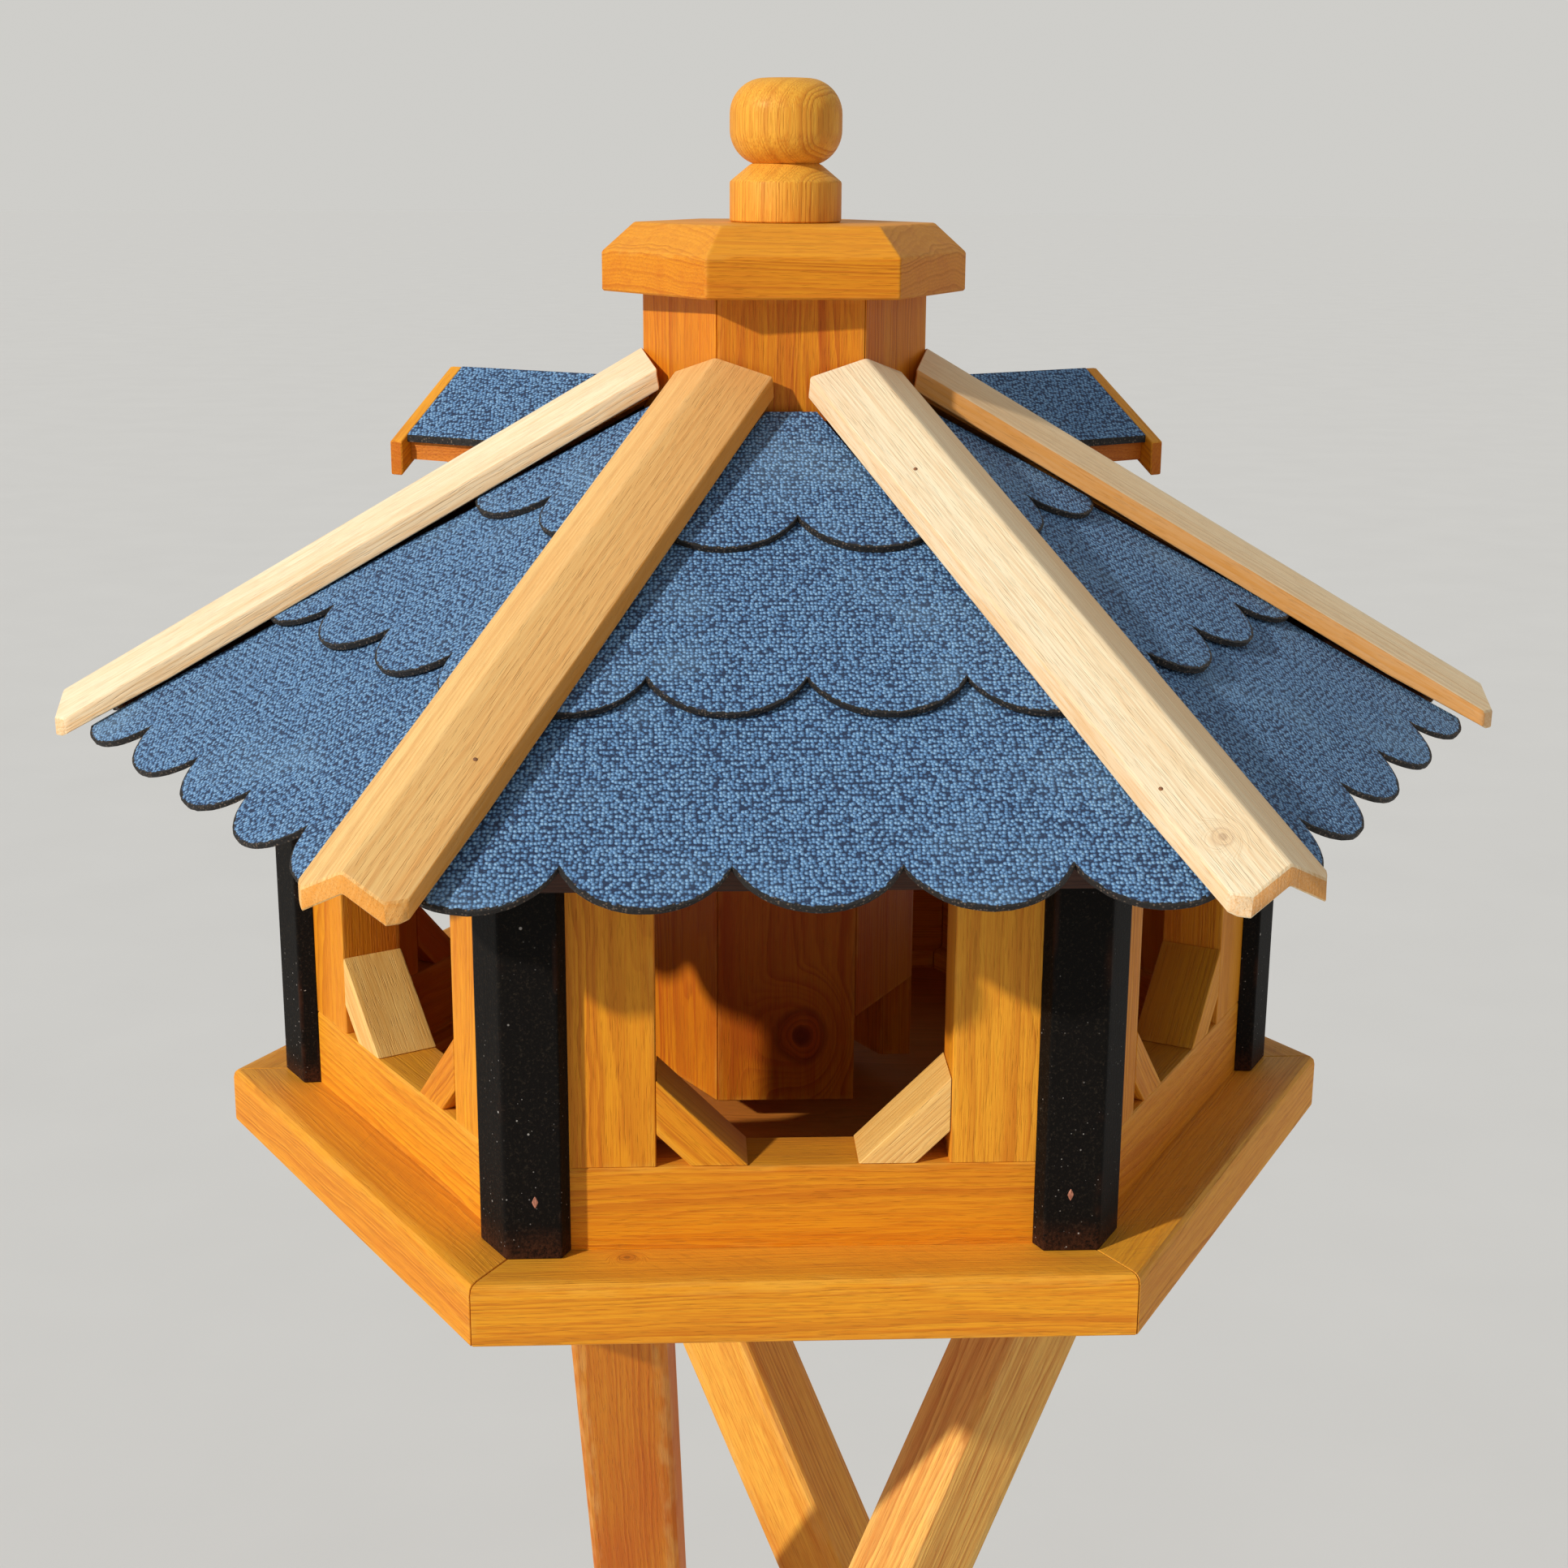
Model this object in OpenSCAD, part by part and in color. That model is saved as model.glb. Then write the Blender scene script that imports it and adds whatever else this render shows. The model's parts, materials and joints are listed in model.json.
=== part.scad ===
// Hexagonal bird feeder: a timber hopper house on a twisted three-legged stand.
// Units are millimetres, +Z is up, the origin is on the ground under the middle of the house.
// The front faces -Y, and the corners of every hexagon lie at 0, 60, 120 ... degrees.

/* [Stand] */
// Height from the ground to the underside of the ledge
stand_h = 850; // [700:10:870]
// Width of each square leg
leg_w = 45; // [35:1:50]
// Bevel along the arrises of a leg
leg_bevel = 5; // [1:0.5:7]
// Distance of a leg's middle line from the axis where the legs pass each other
leg_waist_r = 72; // [60:1:80]
// Depth of that narrowest place below the underside of the ledge
leg_waist_drop = 318; // [280:2:340]
// Lean of a leg from the vertical
leg_lean = 27.5; // [22:0.5:28.5]
// Turn of the whole stand about the axis
leg_turn = 177; // [170:1:184]

/* [Ledge and floor] */
// Distance from the axis to a corner of the ledge
ledge_r = 280; // [268:1:300]
// Thickness of the ledge boards
ledge_t = 28; // [20:1:36]
// Width of the ledge boards
ledge_w = 72; // [66:1:80]
// Rounding of the top outer arris of the ledge
ledge_round = 3; // [1:0.5:6]
// Thickness of the floor panel inside the ledge
floor_t = 18; // [10:1:20]

/* [Bays] */
// Distance from the axis to the outer face of sills and jambs
frame_a = 211; // [200:1:212]
// Depth of sills, jambs, braces and head rails
frame_d = 30; // [24:1:34]
// Height of a sill
sill_h = 38; // [28:1:50]
// Clear width between the two jambs of a bay
bay_w = 125; // [110:1:150]
// Height from the top of the ledge to the underside of the head rails
head_z = 196; // [170:1:204]
// Height of a head rail's outer face
rail_h = 28.5; // [20:0.5:34]
// Reach of a brace along the sill and up the jamb
brace_reach = 39; // [30:1:50]
// Thickness of a brace
brace_t = 17.4; // [12:0.2:22]

/* [Corner posts] */
// Width of each outer face of a corner post
post_face = 24; // [18:1:28]
// Thickness of a corner post over the frame behind it
post_t = 8; // [5:0.5:12]
// Width of the bevel beside each outer face
post_bevel = 3.5; // [2:0.5:10]

/* [Roof] */
// Pitch of the roof faces
roof_pitch = 32.5; // [29:0.5:35]
// Thickness of the timber roof panels
panel_t = 12; // [9:1:16]
// Length of the panels down the slope
panel_l = 268; // [250:1:270]
// Thickness of the shingle felt
felt_t = 3; // [2:0.5:4]
// Pitch of the scallops along a tier
scallop_pitch = 65; // [56:1:76]
// Depth of a scallop
scallop_deep = 20.5; // [12:0.5:24]
// Length of the felt down the slope, from the neck to the cusps of the lowest tier
felt_l = 268.5; // [260:0.5:280]
// Distance down the slope between the tiers
tier_step = 96.5; // [88:0.5:100]
// Length of felt hidden under the tier above
tier_lap = 34; // [24:1:44]
// Distance from the neck to the heads of the two upper tiers
felt_head = 2; // [1:0.5:6]
// Distance of the felt's side edges from the hip line
felt_margin = 20; // [19:0.5:22]

/* [Hip caps] */
// Distance from the axis to the lower end of a cap
cap_end_r = 351; // [342:1:354]
// Width of a cap
cap_w = 51; // [44:1:56]
// Fall of a cap's top from its peak to its edge
cap_fall = 10.6; // [9:0.2:11]
// Height of a cap's outer edge
cap_edge = 8; // [7:0.2:8.4]
// Width of the flat rim under each edge
cap_rim = 8; // [6:0.5:9]
// Thickness of a cap under its peak
cap_peak_t = 10; // [6:0.5:11]
// Height of a cap's peak over the panels' hip line at the neck, across the cap
cap_lift = 25; // [24.5:0.5:28]
// Extra fall of a cap along the hip, in degrees
cap_dip = 1; // [0:0.1:1.1]
// Clipped corner at the lower end of a cap
cap_clip = 5; // [2:0.5:8]
// Angle of the notch that fits the upper end of a cap round the neck, in degrees
cap_notch = 16; // [0:1:24]
// Width of the batten under a cap
batten_w = 22; // [16:1:24]
// Distance from the end of a cap to the end of its batten
batten_back = 26; // [20:1:40]

/* [Silo and lid] */
// Distance from the axis to a corner of the silo
silo_r = 67.5; // [62:0.5:70]
// Thickness of the silo boards
silo_t = 14; // [10:1:18]
// Gap under the silo through which seed runs out
seed_gap = 13.5; // [10:0.5:16]
// Height of a seed mouth, where a silo board stops short over the gap
mouth_h = 43; // [30:1:60]
// Height of the silo's neck over the roof panels
neck_h = 54.5; // [50:0.5:70]
// Distance from the axis to a corner of the lid
lid_r = 86.5; // [78:0.5:95]
// Height of the lid's upright sides
lid_side = 18; // [10:1:20]
// Total height of the lid
lid_t = 31.5; // [22:0.5:34]
// Distance from the axis to a corner of the lid's top face
lid_top_r = 71; // [64:0.5:74]
// Turn of the lift-off lid on the silo, in degrees
lid_turn = 3.5; // [-6:0.5:6]

/* [Finial] */
// Radius of the finial's base and of its ball
finial_r = 26.2; // [22:0.2:30]
// Height of the base's upright side
finial_base_h = 18.5; // [12:0.5:22]
// Height of the slope from the base up to the neck
finial_slope_h = 8; // [5:0.5:10]
// Radius of the neck under the ball
finial_neck_r = 15.9; // [13:0.1:18]
// Half height of the squat ball
finial_ball_h = 19.6; // [17.5:0.1:22]
// Rounding of the ball's shoulders
finial_shoulder = 16.2; // [14:0.2:17]

/* [Dormers] */
// Distance from the axis to the inner face of the bargeboards
dormer_out = 186; // [178:1:192]
// Height of the dormer roof's ridge over the roof panels at the neck
dormer_rise = 11; // [9:0.5:15]
// Pitch of the dormer roofs
dormer_pitch = 31.5; // [28:0.5:35]
// Half width of a dormer's felt
dormer_half = 49; // [44:1:51]
// Half width between the outer faces of the cheeks
dormer_cheek = 38; // [32:1:40]
// Thickness of dormer walls and roof boards
dormer_t = 9; // [7:0.5:11]
// Overhang of the dormer roof past its front wall
dormer_over = 16; // [12:1:20]
// Thickness of the bargeboards
barge_t = 7; // [6:0.5:10]
// Depth of the bargeboards along the upright
barge_h = 17; // [14:0.5:20]
// Half width over the bargeboards
barge_half = 54; // [52:1:62]

/* [Fits] */
// Gap between neighbouring mitred boards
joint_gap = 0.4; // [0.2:0.1:0.6]
// Gap left where one piece rests on another
seat = 0.2; // [0.1:0.05:0.3]
// Gap between a dormer roof and the hip caps beside it
dormer_clear = 0.7; // [0.3:0.1:0.9]

/* [Hidden] */
FACES = ["front", "front_right", "back_right", "back", "back_left", "front_left"];
CORNERS = ["front_right", "right", "back_right", "back_left", "left", "front_left"];
LEGS = ["back", "left", "right"];
LEG_STEP = 360 / len(LEGS);
DORMER_FACES = [2, 4];
SIDES = 6;
HALF = 180 / SIDES;
STEP = 360 / SIDES;
// Length that reaches past the whole house, for cutting
FAR = 600;

ledge_z = stand_h + ledge_t;
panel_fall = panel_t / cos(roof_pitch);
silo_a = silo_r * cos(HALF);
// Height of the panels' top face at the neck, above the ledge
roof_z = head_z + rail_h + panel_fall + (frame_a - silo_a) * tan(roof_pitch);
silo_top = roof_z + neck_h;
dormer_ridge = roof_z + dormer_rise;
ledge_a = ledge_r * cos(HALF);
floor_z = ledge_z - ledge_t + floor_t;
head_top = roof_top(frame_a - frame_d) - panel_fall;
post_a = frame_a + post_t;
post_top = roof_top(post_a) - panel_fall - seat;
scallop_r = (pow(scallop_pitch / 2, 2) + pow(scallop_deep, 2)) / (2 * scallop_deep);
hip_pitch = atan(tan(roof_pitch) * cos(HALF));
tier_mid = felt_l - tier_step;
tier_top = tier_mid - tier_step;
low_head = tier_mid - tier_lap;
// Tilt that lets the middle tier ride over the head of the lowest one
tier_tilt = atan(felt_t / low_head);
cap_slope = hip_pitch + cap_dip;

// Faces whose silo board stops short over a seed mouth
MOUTHS = ["front_right", "back_left"];

// Half length of a mitred board where its face lies at apothem a
function mitre_x(a) = a * tan(HALF) - joint_gap / (2 * cos(HALF));
// Height of the roof panels' top plane over the ledge, at apothem a
function roof_top(a) = roof_z - (a - silo_a) * tan(roof_pitch);

module at_face(k) { rotate(STEP * k) children(); }
module at_corner(k) { rotate(STEP * k - STEP) children(); }
module on_ledge() { translate([0, 0, ledge_z]) children(); }

// Plan of a mitred board or panel between two apothems
module sector(a_out, a_in) {
    polygon([
        [-mitre_x(a_out), -a_out], [mitre_x(a_out), -a_out],
        [mitre_x(a_in), -a_in], [-mitre_x(a_in), -a_in]]);
}

module mitred_board(a_out, depth, h) {
    linear_extrude(h) sector(a_out, a_out - depth);
}

// Places children whose -Y runs down the front roof face, with Z off its panel
module on_slope() {
    translate([0, -silo_a, roof_z]) rotate([roof_pitch, 0, 0]) children();
}

// One square leg from the underside of the ledge to the ground
module leg(k) {
    color("peru")
    intersection() {
        translate([-FAR, -FAR, 0]) cube([2 * FAR, 2 * FAR, stand_h - seat]);
        rotate(leg_turn + k * LEG_STEP)
        translate([leg_waist_r, 0, stand_h - leg_waist_drop])
        rotate([-leg_lean, 0, 0])
        translate([0, 0, -2 * FAR]) linear_extrude(4 * FAR) leg_section();
    }
}

module leg_section() {
    h = leg_w / 2;
    b = h - leg_bevel;
    polygon([[-h, -b], [-b, -h], [b, -h], [h, -b], [h, b], [b, h], [-b, h], [-h, b]]);
}

module floor_panel() {
    color("sienna")
    translate([0, 0, floor_z - floor_t])
    cylinder(h = floor_t, r = (ledge_a - ledge_w - seat) / cos(HALF), $fn = SIDES);
}

// Ledge board with a rounded top arris and mitred ends
module ledge(k) {
    color("goldenrod")
    at_face(k) translate([0, 0, stand_h])
    intersection() {
        mitred_board(ledge_a, ledge_w, ledge_t);
        translate([-ledge_r, -ledge_a, 0]) rotate([90, 0, 90])
            linear_extrude(2 * ledge_r) ledge_profile();
    }
}

module ledge_profile() {
    square([ledge_w, ledge_t - ledge_round]);
    translate([ledge_round, 0]) square([ledge_w - ledge_round, ledge_t]);
    translate([ledge_round, ledge_t - ledge_round]) circle(r = ledge_round, $fn = 32);
}

module sill(k) {
    color("goldenrod")
    at_face(k) on_ledge() mitred_board(frame_a, frame_d, sill_h);
}

// Two upright boards in each bay, standing on the sill
module jambs() {
    color("orange")
    for (k = [0 : SIDES - 1], side = [-1, 1])
        at_face(k) on_ledge() translate([0, 0, sill_h])
        intersection() {
            mitred_board(frame_a, frame_d, head_z - sill_h);
            translate([side > 0 ? bay_w / 2 : -FAR - bay_w / 2, -FAR, 0]) cube([FAR, FAR, FAR]);
        }
}

// Two short braces in each bay, from the jambs down to the sill
module braces() {
    foot = brace_t * sqrt(2);
    color("orange")
    for (k = [0 : SIDES - 1], side = [0, 1])
        at_face(k) mirror([side, 0, 0]) on_ledge()
        translate([-bay_w / 2 + seat, -frame_a + frame_d, sill_h + seat]) rotate([90, 0, 0])
        linear_extrude(frame_d)
        polygon([[0, brace_reach], [0, brace_reach - foot], [brace_reach - foot, 0], [brace_reach, 0]]);
}

// Rails over the jambs, their tops cut to the slope of the roof panels
module head_rails() {
    color("darkgoldenrod")
    for (k = [0 : SIDES - 1])
        at_face(k) on_ledge()
        difference() {
            translate([0, 0, head_z]) mitred_board(frame_a, frame_d, head_top - head_z);
            on_slope() translate([-FAR, -FAR, -panel_t - seat]) cube([2 * FAR, 2 * FAR, FAR]);
        }
}

// Corner strip with two outer faces and a bevel beside each
module corner_post(k) {
    back = frame_a + seat;
    face_end = post_face - post_a * tan(HALF);
    side = [post_pt(post_a, face_end), post_pt(back, face_end + post_bevel)];
    color([0.13, 0.1, 0.08])
    at_corner(k) on_ledge() translate([0, 0, seat]) linear_extrude(post_top - seat)
    polygon([
        [post_a / cos(HALF), 0], side[0], side[1], [back / cos(HALF), 0],
        flipped(side[1]), flipped(side[0])]);
}

// Point beside a corner at apothem a and distance t along the bay's face from its middle
function post_pt(a, t) = [a * cos(HALF) - t * sin(HALF), a * sin(HALF) + t * cos(HALF)];
function flipped(p) = [p[0], -p[1]];

module roof_panel(k) {
    color("saddlebrown")
    at_face(k) on_ledge()
    intersection() {
        linear_extrude(FAR) sector(FAR, silo_a + seat);
        on_slope() translate([-FAR, -panel_l, -panel_t]) cube([2 * FAR, FAR, panel_t]);
    }
}

// Outline of one tier in plan of the slope: x across, -y down from the neck
module tier_outline(cusp, head, shift) {
    reach = ceil(FAR / scallop_pitch / 2);
    low = cusp + 2 * scallop_deep;
    intersection() {
        polygon([
            [-felt_x(head), -head], [felt_x(head), -head],
            [felt_x(low), -low], [-felt_x(low), -low]]);
        union() {
            translate([-FAR, -cusp]) square([2 * FAR, cusp]);
            for (i = [-reach : reach])
                translate([(i + shift) * scallop_pitch, scallop_r - cusp - scallop_deep])
                    circle(r = scallop_r, $fn = 64);
        }
    }
}

// Half width of the felt at distance s down the slope
function felt_x(s) = (silo_a + s * cos(roof_pitch)) * tan(HALF) - felt_margin / cos(HALF);

module tier(cusp, head, shift, tilt, lift) {
    color("steelblue")
    for (k = [0 : SIDES - 1])
        at_face(k) on_ledge() on_slope() translate([0, -seat, 0])
        rotate([-tilt, 0, 0]) translate([0, 0, lift + seat])
        linear_extrude(felt_t) tier_outline(cusp, head, shift);
}

module shingles_lower() { tier(felt_l, low_head, 0, 0, 0); }
module shingles_middle() { tier(tier_mid, felt_head, 0.5, tier_tilt, seat); }
module shingles_upper() { tier(tier_top, felt_head, 0.5, tier_tilt, felt_t + 2 * seat); }

// Places children whose X runs down a hip cap and Z points off its peak
module on_cap() {
    translate([silo_r, 0, roof_z + cap_lift / cos(hip_pitch)]) rotate([0, cap_slope, 0]) children();
}

// Extrudes a section drawn in u and w along the hip
module along_hip() {
    translate([-FAR / 2, 0, 0]) rotate([90, 0, 90]) linear_extrude(2 * FAR) children();
}

module cap_section() {
    h = cap_w / 2;
    low = -cap_fall - cap_edge;
    polygon([
        [0, 0], [h, -cap_fall], [h, low], [h - cap_rim, low],
        [0, -cap_peak_t], [cap_rim - h, low], [-h, low], [-h, -cap_fall]]);
}

// Plan of a cap, with the upper end notched and the lower corners clipped
module cap_plan(r_in, r_out, clip) {
    h = cap_w / 2;
    wing = r_in - h * tan(cap_notch);
    polygon([
        [r_in, 0], [wing, -h], [r_out - clip, -h], [r_out, clip - h],
        [r_out, h - clip], [r_out - clip, h], [wing, h]]);
}

module hip_caps() {
    color("burlywood")
    for (k = [0 : SIDES - 1])
        at_corner(k) on_ledge()
        intersection() {
            linear_extrude(FAR) cap_plan(silo_r + seat, cap_end_r, cap_clip);
            on_cap() along_hip() cap_section();
        }
}

module batten_section() {
    h = batten_w / 2;
    fall = (cap_fall + cap_edge - cap_peak_t) / (cap_w / 2 - cap_rim);
    top = -cap_peak_t - seat;
    polygon([[0, top], [h, top - h * fall], [h, -2 * cap_lift], [-h, -2 * cap_lift], [-h, top - h * fall]]);
}

// Battens along the hips that carry the caps, cut to lie on the two panels
module hip_battens() {
    color("sienna")
    for (k = [0 : SIDES - 1])
        at_corner(k) on_ledge()
        intersection() {
            linear_extrude(FAR) cap_plan(silo_r + seat, cap_end_r - batten_back, 0);
            on_cap() along_hip() batten_section();
            rotate(STEP) above_panel();
            above_panel();
        }
}

// Everything over the panel of the face beside the corner
module above_panel() {
    rotate(STEP) on_slope() translate([-FAR, -FAR, seat]) cube([2 * FAR, 2 * FAR, FAR]);
}

// Height of a silo board's foot over the ground
function silo_foot(face) =
    floor_z + seed_gap + ([for (m = MOUTHS) if (m == face) m] == [] ? 0 : mouth_h);

// Six boards round the seed hopper, from the seed gap or a mouth to the lid
module silo() {
    color("orange")
    for (k = [0 : SIDES - 1])
        translate([0, 0, silo_foot(FACES[k])])
        at_face(k) mitred_board(silo_a, silo_t, ledge_z + silo_top - silo_foot(FACES[k]));
}

module lid() {
    color("orange")
    translate([0, 0, ledge_z + silo_top + seat]) rotate(lid_turn) {
        cylinder(h = lid_side, r = lid_r, $fn = SIDES);
        translate([0, 0, lid_side])
            linear_extrude(lid_t - lid_side, scale = lid_top_r / lid_r) circle(r = lid_r, $fn = SIDES);
    }
}

// Turned knob: base, slope to the neck, and a squat ball with round shoulders
module finial() {
    neck_z = finial_base_h + finial_slope_h;
    flat_r = finial_r - finial_shoulder;
    straight = finial_ball_h - finial_shoulder;
    drop = straight + sqrt(pow(finial_shoulder, 2) - pow(finial_neck_r - flat_r, 2));
    color("orange")
    translate([0, 0, ledge_z + silo_top + lid_t + 2 * seat])
    rotate_extrude($fn = 64)
    union() {
        polygon([[0, 0], [finial_r, 0], [finial_r, finial_base_h], [finial_neck_r, neck_z], [0, neck_z]]);
        translate([0, neck_z + drop]) intersection() {
            union() {
                translate([0, -finial_ball_h]) square([flat_r, 2 * finial_ball_h]);
                translate([0, -straight]) square([finial_r, 2 * straight]);
                for (side = [-1, 1])
                    translate([flat_r, side * straight]) circle(r = finial_shoulder, $fn = 64);
            }
            translate([0, -drop]) square([finial_r, drop + finial_ball_h]);
        }
    }
}

// Draws children on both dormers, their -Y running outward along the ridge
module dormers() {
    for (k = DORMER_FACES) at_face(k) on_ledge() children();
}

// Slab under one side of a dormer roof, from x = 0 down to a half width
module dormer_slab(half, thick, under, y_out) {
    translate([0, 0, dormer_ridge])
    intersection() {
        rotate([0, dormer_pitch, 0]) translate([-thick, -y_out, -under - thick]) cube([FAR, y_out, thick]);
        translate([seat, -FAR, -FAR]) cube([half - seat, 2 * FAR, 2 * FAR]);
    }
}

// Half width left between the two hip caps beside a face, at apothem a
function between_caps(a) = a * tan(HALF) - (cap_w / 2 + dormer_clear) / cos(HALF);

// Room over the main roof's felt, outside the silo and between the hip caps
module dormer_room() {
    near = silo_a + seat;
    difference() {
        linear_extrude(FAR) polygon([
            [-between_caps(FAR), -FAR], [between_caps(FAR), -FAR],
            [between_caps(near), -near], [-between_caps(near), -near]]);
        on_slope() translate([-FAR, -FAR, -FAR]) cube([2 * FAR, 2 * FAR, FAR + 3 * felt_t + 4 * seat]);
    }
}

module dormer_walls() {
    wall_y = dormer_out - dormer_over;
    color("chocolate")
    dormers() intersection() {
        dormer_room();
        difference() {
            translate([-dormer_cheek, -wall_y, 0]) cube([2 * dormer_cheek, wall_y, FAR]);
            translate([dormer_t - dormer_cheek, dormer_t - wall_y, 0])
                cube([2 * (dormer_cheek - dormer_t), wall_y, FAR]);
            for (side = [0, 1]) mirror([side, 0, 0])
                translate([0, 0, dormer_ridge]) rotate([0, dormer_pitch, 0])
                translate([-FAR / 2, -FAR, -felt_t - dormer_t - 2 * seat]) cube([FAR, 2 * FAR, FAR]);
        }
    }
}

module dormer_roofs() {
    color("chocolate")
    dormers() for (side = [0, 1]) mirror([side, 0, 0])
        intersection() {
            dormer_room();
            dormer_slab(dormer_half - felt_t, dormer_t, felt_t + seat, dormer_out);
        }
}

module dormer_felt() {
    color("steelblue")
    dormers() for (side = [0, 1]) mirror([side, 0, 0])
        intersection() {
            dormer_room();
            dormer_slab(dormer_half, felt_t, 0, dormer_out);
        }
}

// Two sloping boards across the outer end of a dormer roof
module bargeboards() {
    fall = barge_half * tan(dormer_pitch);
    color("orange")
    dormers() for (side = [0, 1]) mirror([side, 0, 0])
        translate([0, -dormer_out - seat, dormer_ridge]) rotate([90, 0, 0])
        linear_extrude(barge_t)
        polygon([[seat, 0], [barge_half, -fall], [barge_half, -fall - barge_h], [seat, -barge_h]]);
}

for (k = [0 : len(LEGS) - 1]) leg(k);
floor_panel();
for (k = [0 : SIDES - 1]) ledge(k);
for (k = [0 : SIDES - 1]) sill(k);
jambs();
braces();
head_rails();
for (k = [0 : SIDES - 1]) corner_post(k);
for (k = [0 : SIDES - 1]) roof_panel(k);
shingles_lower();
shingles_middle();
shingles_upper();
hip_battens();
hip_caps();
silo();
lid();
finial();
dormer_walls();
dormer_roofs();
dormer_felt();
bargeboards();
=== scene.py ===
"""Looks of the hexagonal bird feeder on its twisted tripod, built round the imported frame.

Every length is in millimetres until a mesh is made, and every mesh is made in metres.
The front faces -Y, +Z is up, and the corners of the hexagons lie at 0, 60, 120 ... degrees.
"""
import json
import logging
import math
from dataclasses import dataclass, field, replace
from enum import Enum
from typing import Any, Callable, Sequence

import bpy
import numpy as np
from mathutils import Matrix, Vector

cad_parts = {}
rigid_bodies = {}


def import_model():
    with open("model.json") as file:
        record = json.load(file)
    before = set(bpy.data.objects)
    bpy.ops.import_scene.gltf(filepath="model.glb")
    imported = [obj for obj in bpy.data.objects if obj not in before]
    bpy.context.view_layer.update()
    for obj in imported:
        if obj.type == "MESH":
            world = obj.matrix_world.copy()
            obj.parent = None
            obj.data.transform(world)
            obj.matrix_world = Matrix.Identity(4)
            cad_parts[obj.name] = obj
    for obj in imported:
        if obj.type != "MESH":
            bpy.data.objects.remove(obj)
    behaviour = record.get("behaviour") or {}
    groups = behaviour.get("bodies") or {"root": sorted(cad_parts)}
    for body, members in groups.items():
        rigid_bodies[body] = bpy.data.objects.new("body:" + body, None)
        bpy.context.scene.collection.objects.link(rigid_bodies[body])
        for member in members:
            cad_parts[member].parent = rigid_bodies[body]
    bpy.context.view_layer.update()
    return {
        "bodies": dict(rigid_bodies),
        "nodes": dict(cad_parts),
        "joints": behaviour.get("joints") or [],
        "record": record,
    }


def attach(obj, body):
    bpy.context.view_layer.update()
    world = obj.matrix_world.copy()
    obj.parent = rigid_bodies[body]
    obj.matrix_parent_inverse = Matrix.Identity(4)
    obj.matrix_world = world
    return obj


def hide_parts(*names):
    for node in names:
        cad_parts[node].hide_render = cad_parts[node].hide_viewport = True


LOG = logging.getLogger("feeder")
Array = np.ndarray
Colour = tuple[float, float, float, float]
Cut = Callable[[Array], Array]
Knot = tuple[float, float, float, float]

MM = 0.001
SIDES = 6
HALF = math.pi / SIDES
STEP = 2 * HALF
SEED = 41
BODY = "root"
PHOTO_PIXELS = 1932
SENSOR_MM = 36.0
SHARP_ANGLE = math.radians(30)
FAR_KNOT = 50.0


class Part(Enum):
    """A place on the feeder that the frame's nodes are named after."""

    @property
    def label(self) -> str:
        """Name of the place as the frame's nodes write it."""
        return self.name.lower()


class Face(Part):
    """The six sides of the house, in turning order from the front."""

    FRONT = 0
    FRONT_RIGHT = 1
    BACK_RIGHT = 2
    BACK = 3
    BACK_LEFT = 4
    FRONT_LEFT = 5

    @property
    def turn(self) -> float:
        """Angle that turns the front side onto this one."""
        return STEP * self.value


class Corner(Part):
    """The six corners of the house, in turning order from the front right."""

    FRONT_RIGHT = 0
    RIGHT = 1
    BACK_RIGHT = 2
    BACK_LEFT = 3
    LEFT = 4
    FRONT_LEFT = 5

    @property
    def turn(self) -> float:
        """Angle that turns the +X axis onto this corner."""
        return STEP * self.value - STEP


class Leg(Part):
    """The three legs of the stand, in turning order."""

    BACK = 0
    LEFT = 1
    RIGHT = 2

    @property
    def turn(self) -> float:
        """Angle that turns the first leg onto this one."""
        return self.value * 2 * math.pi / len(Leg)


class GrainFrom(Enum):
    """Where a timber finish takes its grain from."""

    BOARD = "board"
    SOLID = "solid"


class Dress(Enum):
    """Names of the record's finish slots, which the pieces here do not read."""

    HONEY = "honey_wood"
    DARK = "dark_wood"
    LEG = "leg_wood"
    BLACK = "black_stain"
    PINE = "pale_pine"
    FELT = "blue_felt"


def srgb(red: int, green: int, blue: int) -> Colour:
    """Linear colour of a screen colour.

    Args:
        red: Red from 0 to 255.
        green: Green from 0 to 255.
        blue: Blue from 0 to 255.

    Returns:
        The linear colour with an alpha of one.
    """
    c = np.array([red, green, blue]) / 255
    linear = np.where(c <= 0.04045, c / 12.92, ((c + 0.055) / 1.055) ** 2.4)
    return (float(linear[0]), float(linear[1]), float(linear[2]), 1.0)


def math_operator(operation: str, swapped: bool = False) -> Callable[["Sock", Any], "Sock"]:
    """Method for a Python operator on shader values.

    Args:
        operation: Blender's name for the operation.
        swapped: Whether the wrapped value stands on the right.

    Returns:
        The method.
    """

    def method(sock: "Sock", other: Any) -> "Sock":
        """Adds a Math node for the operator."""
        pair = (other, sock) if swapped else (sock, other)
        return sock.shader.math(operation, *pair)

    return method


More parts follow.
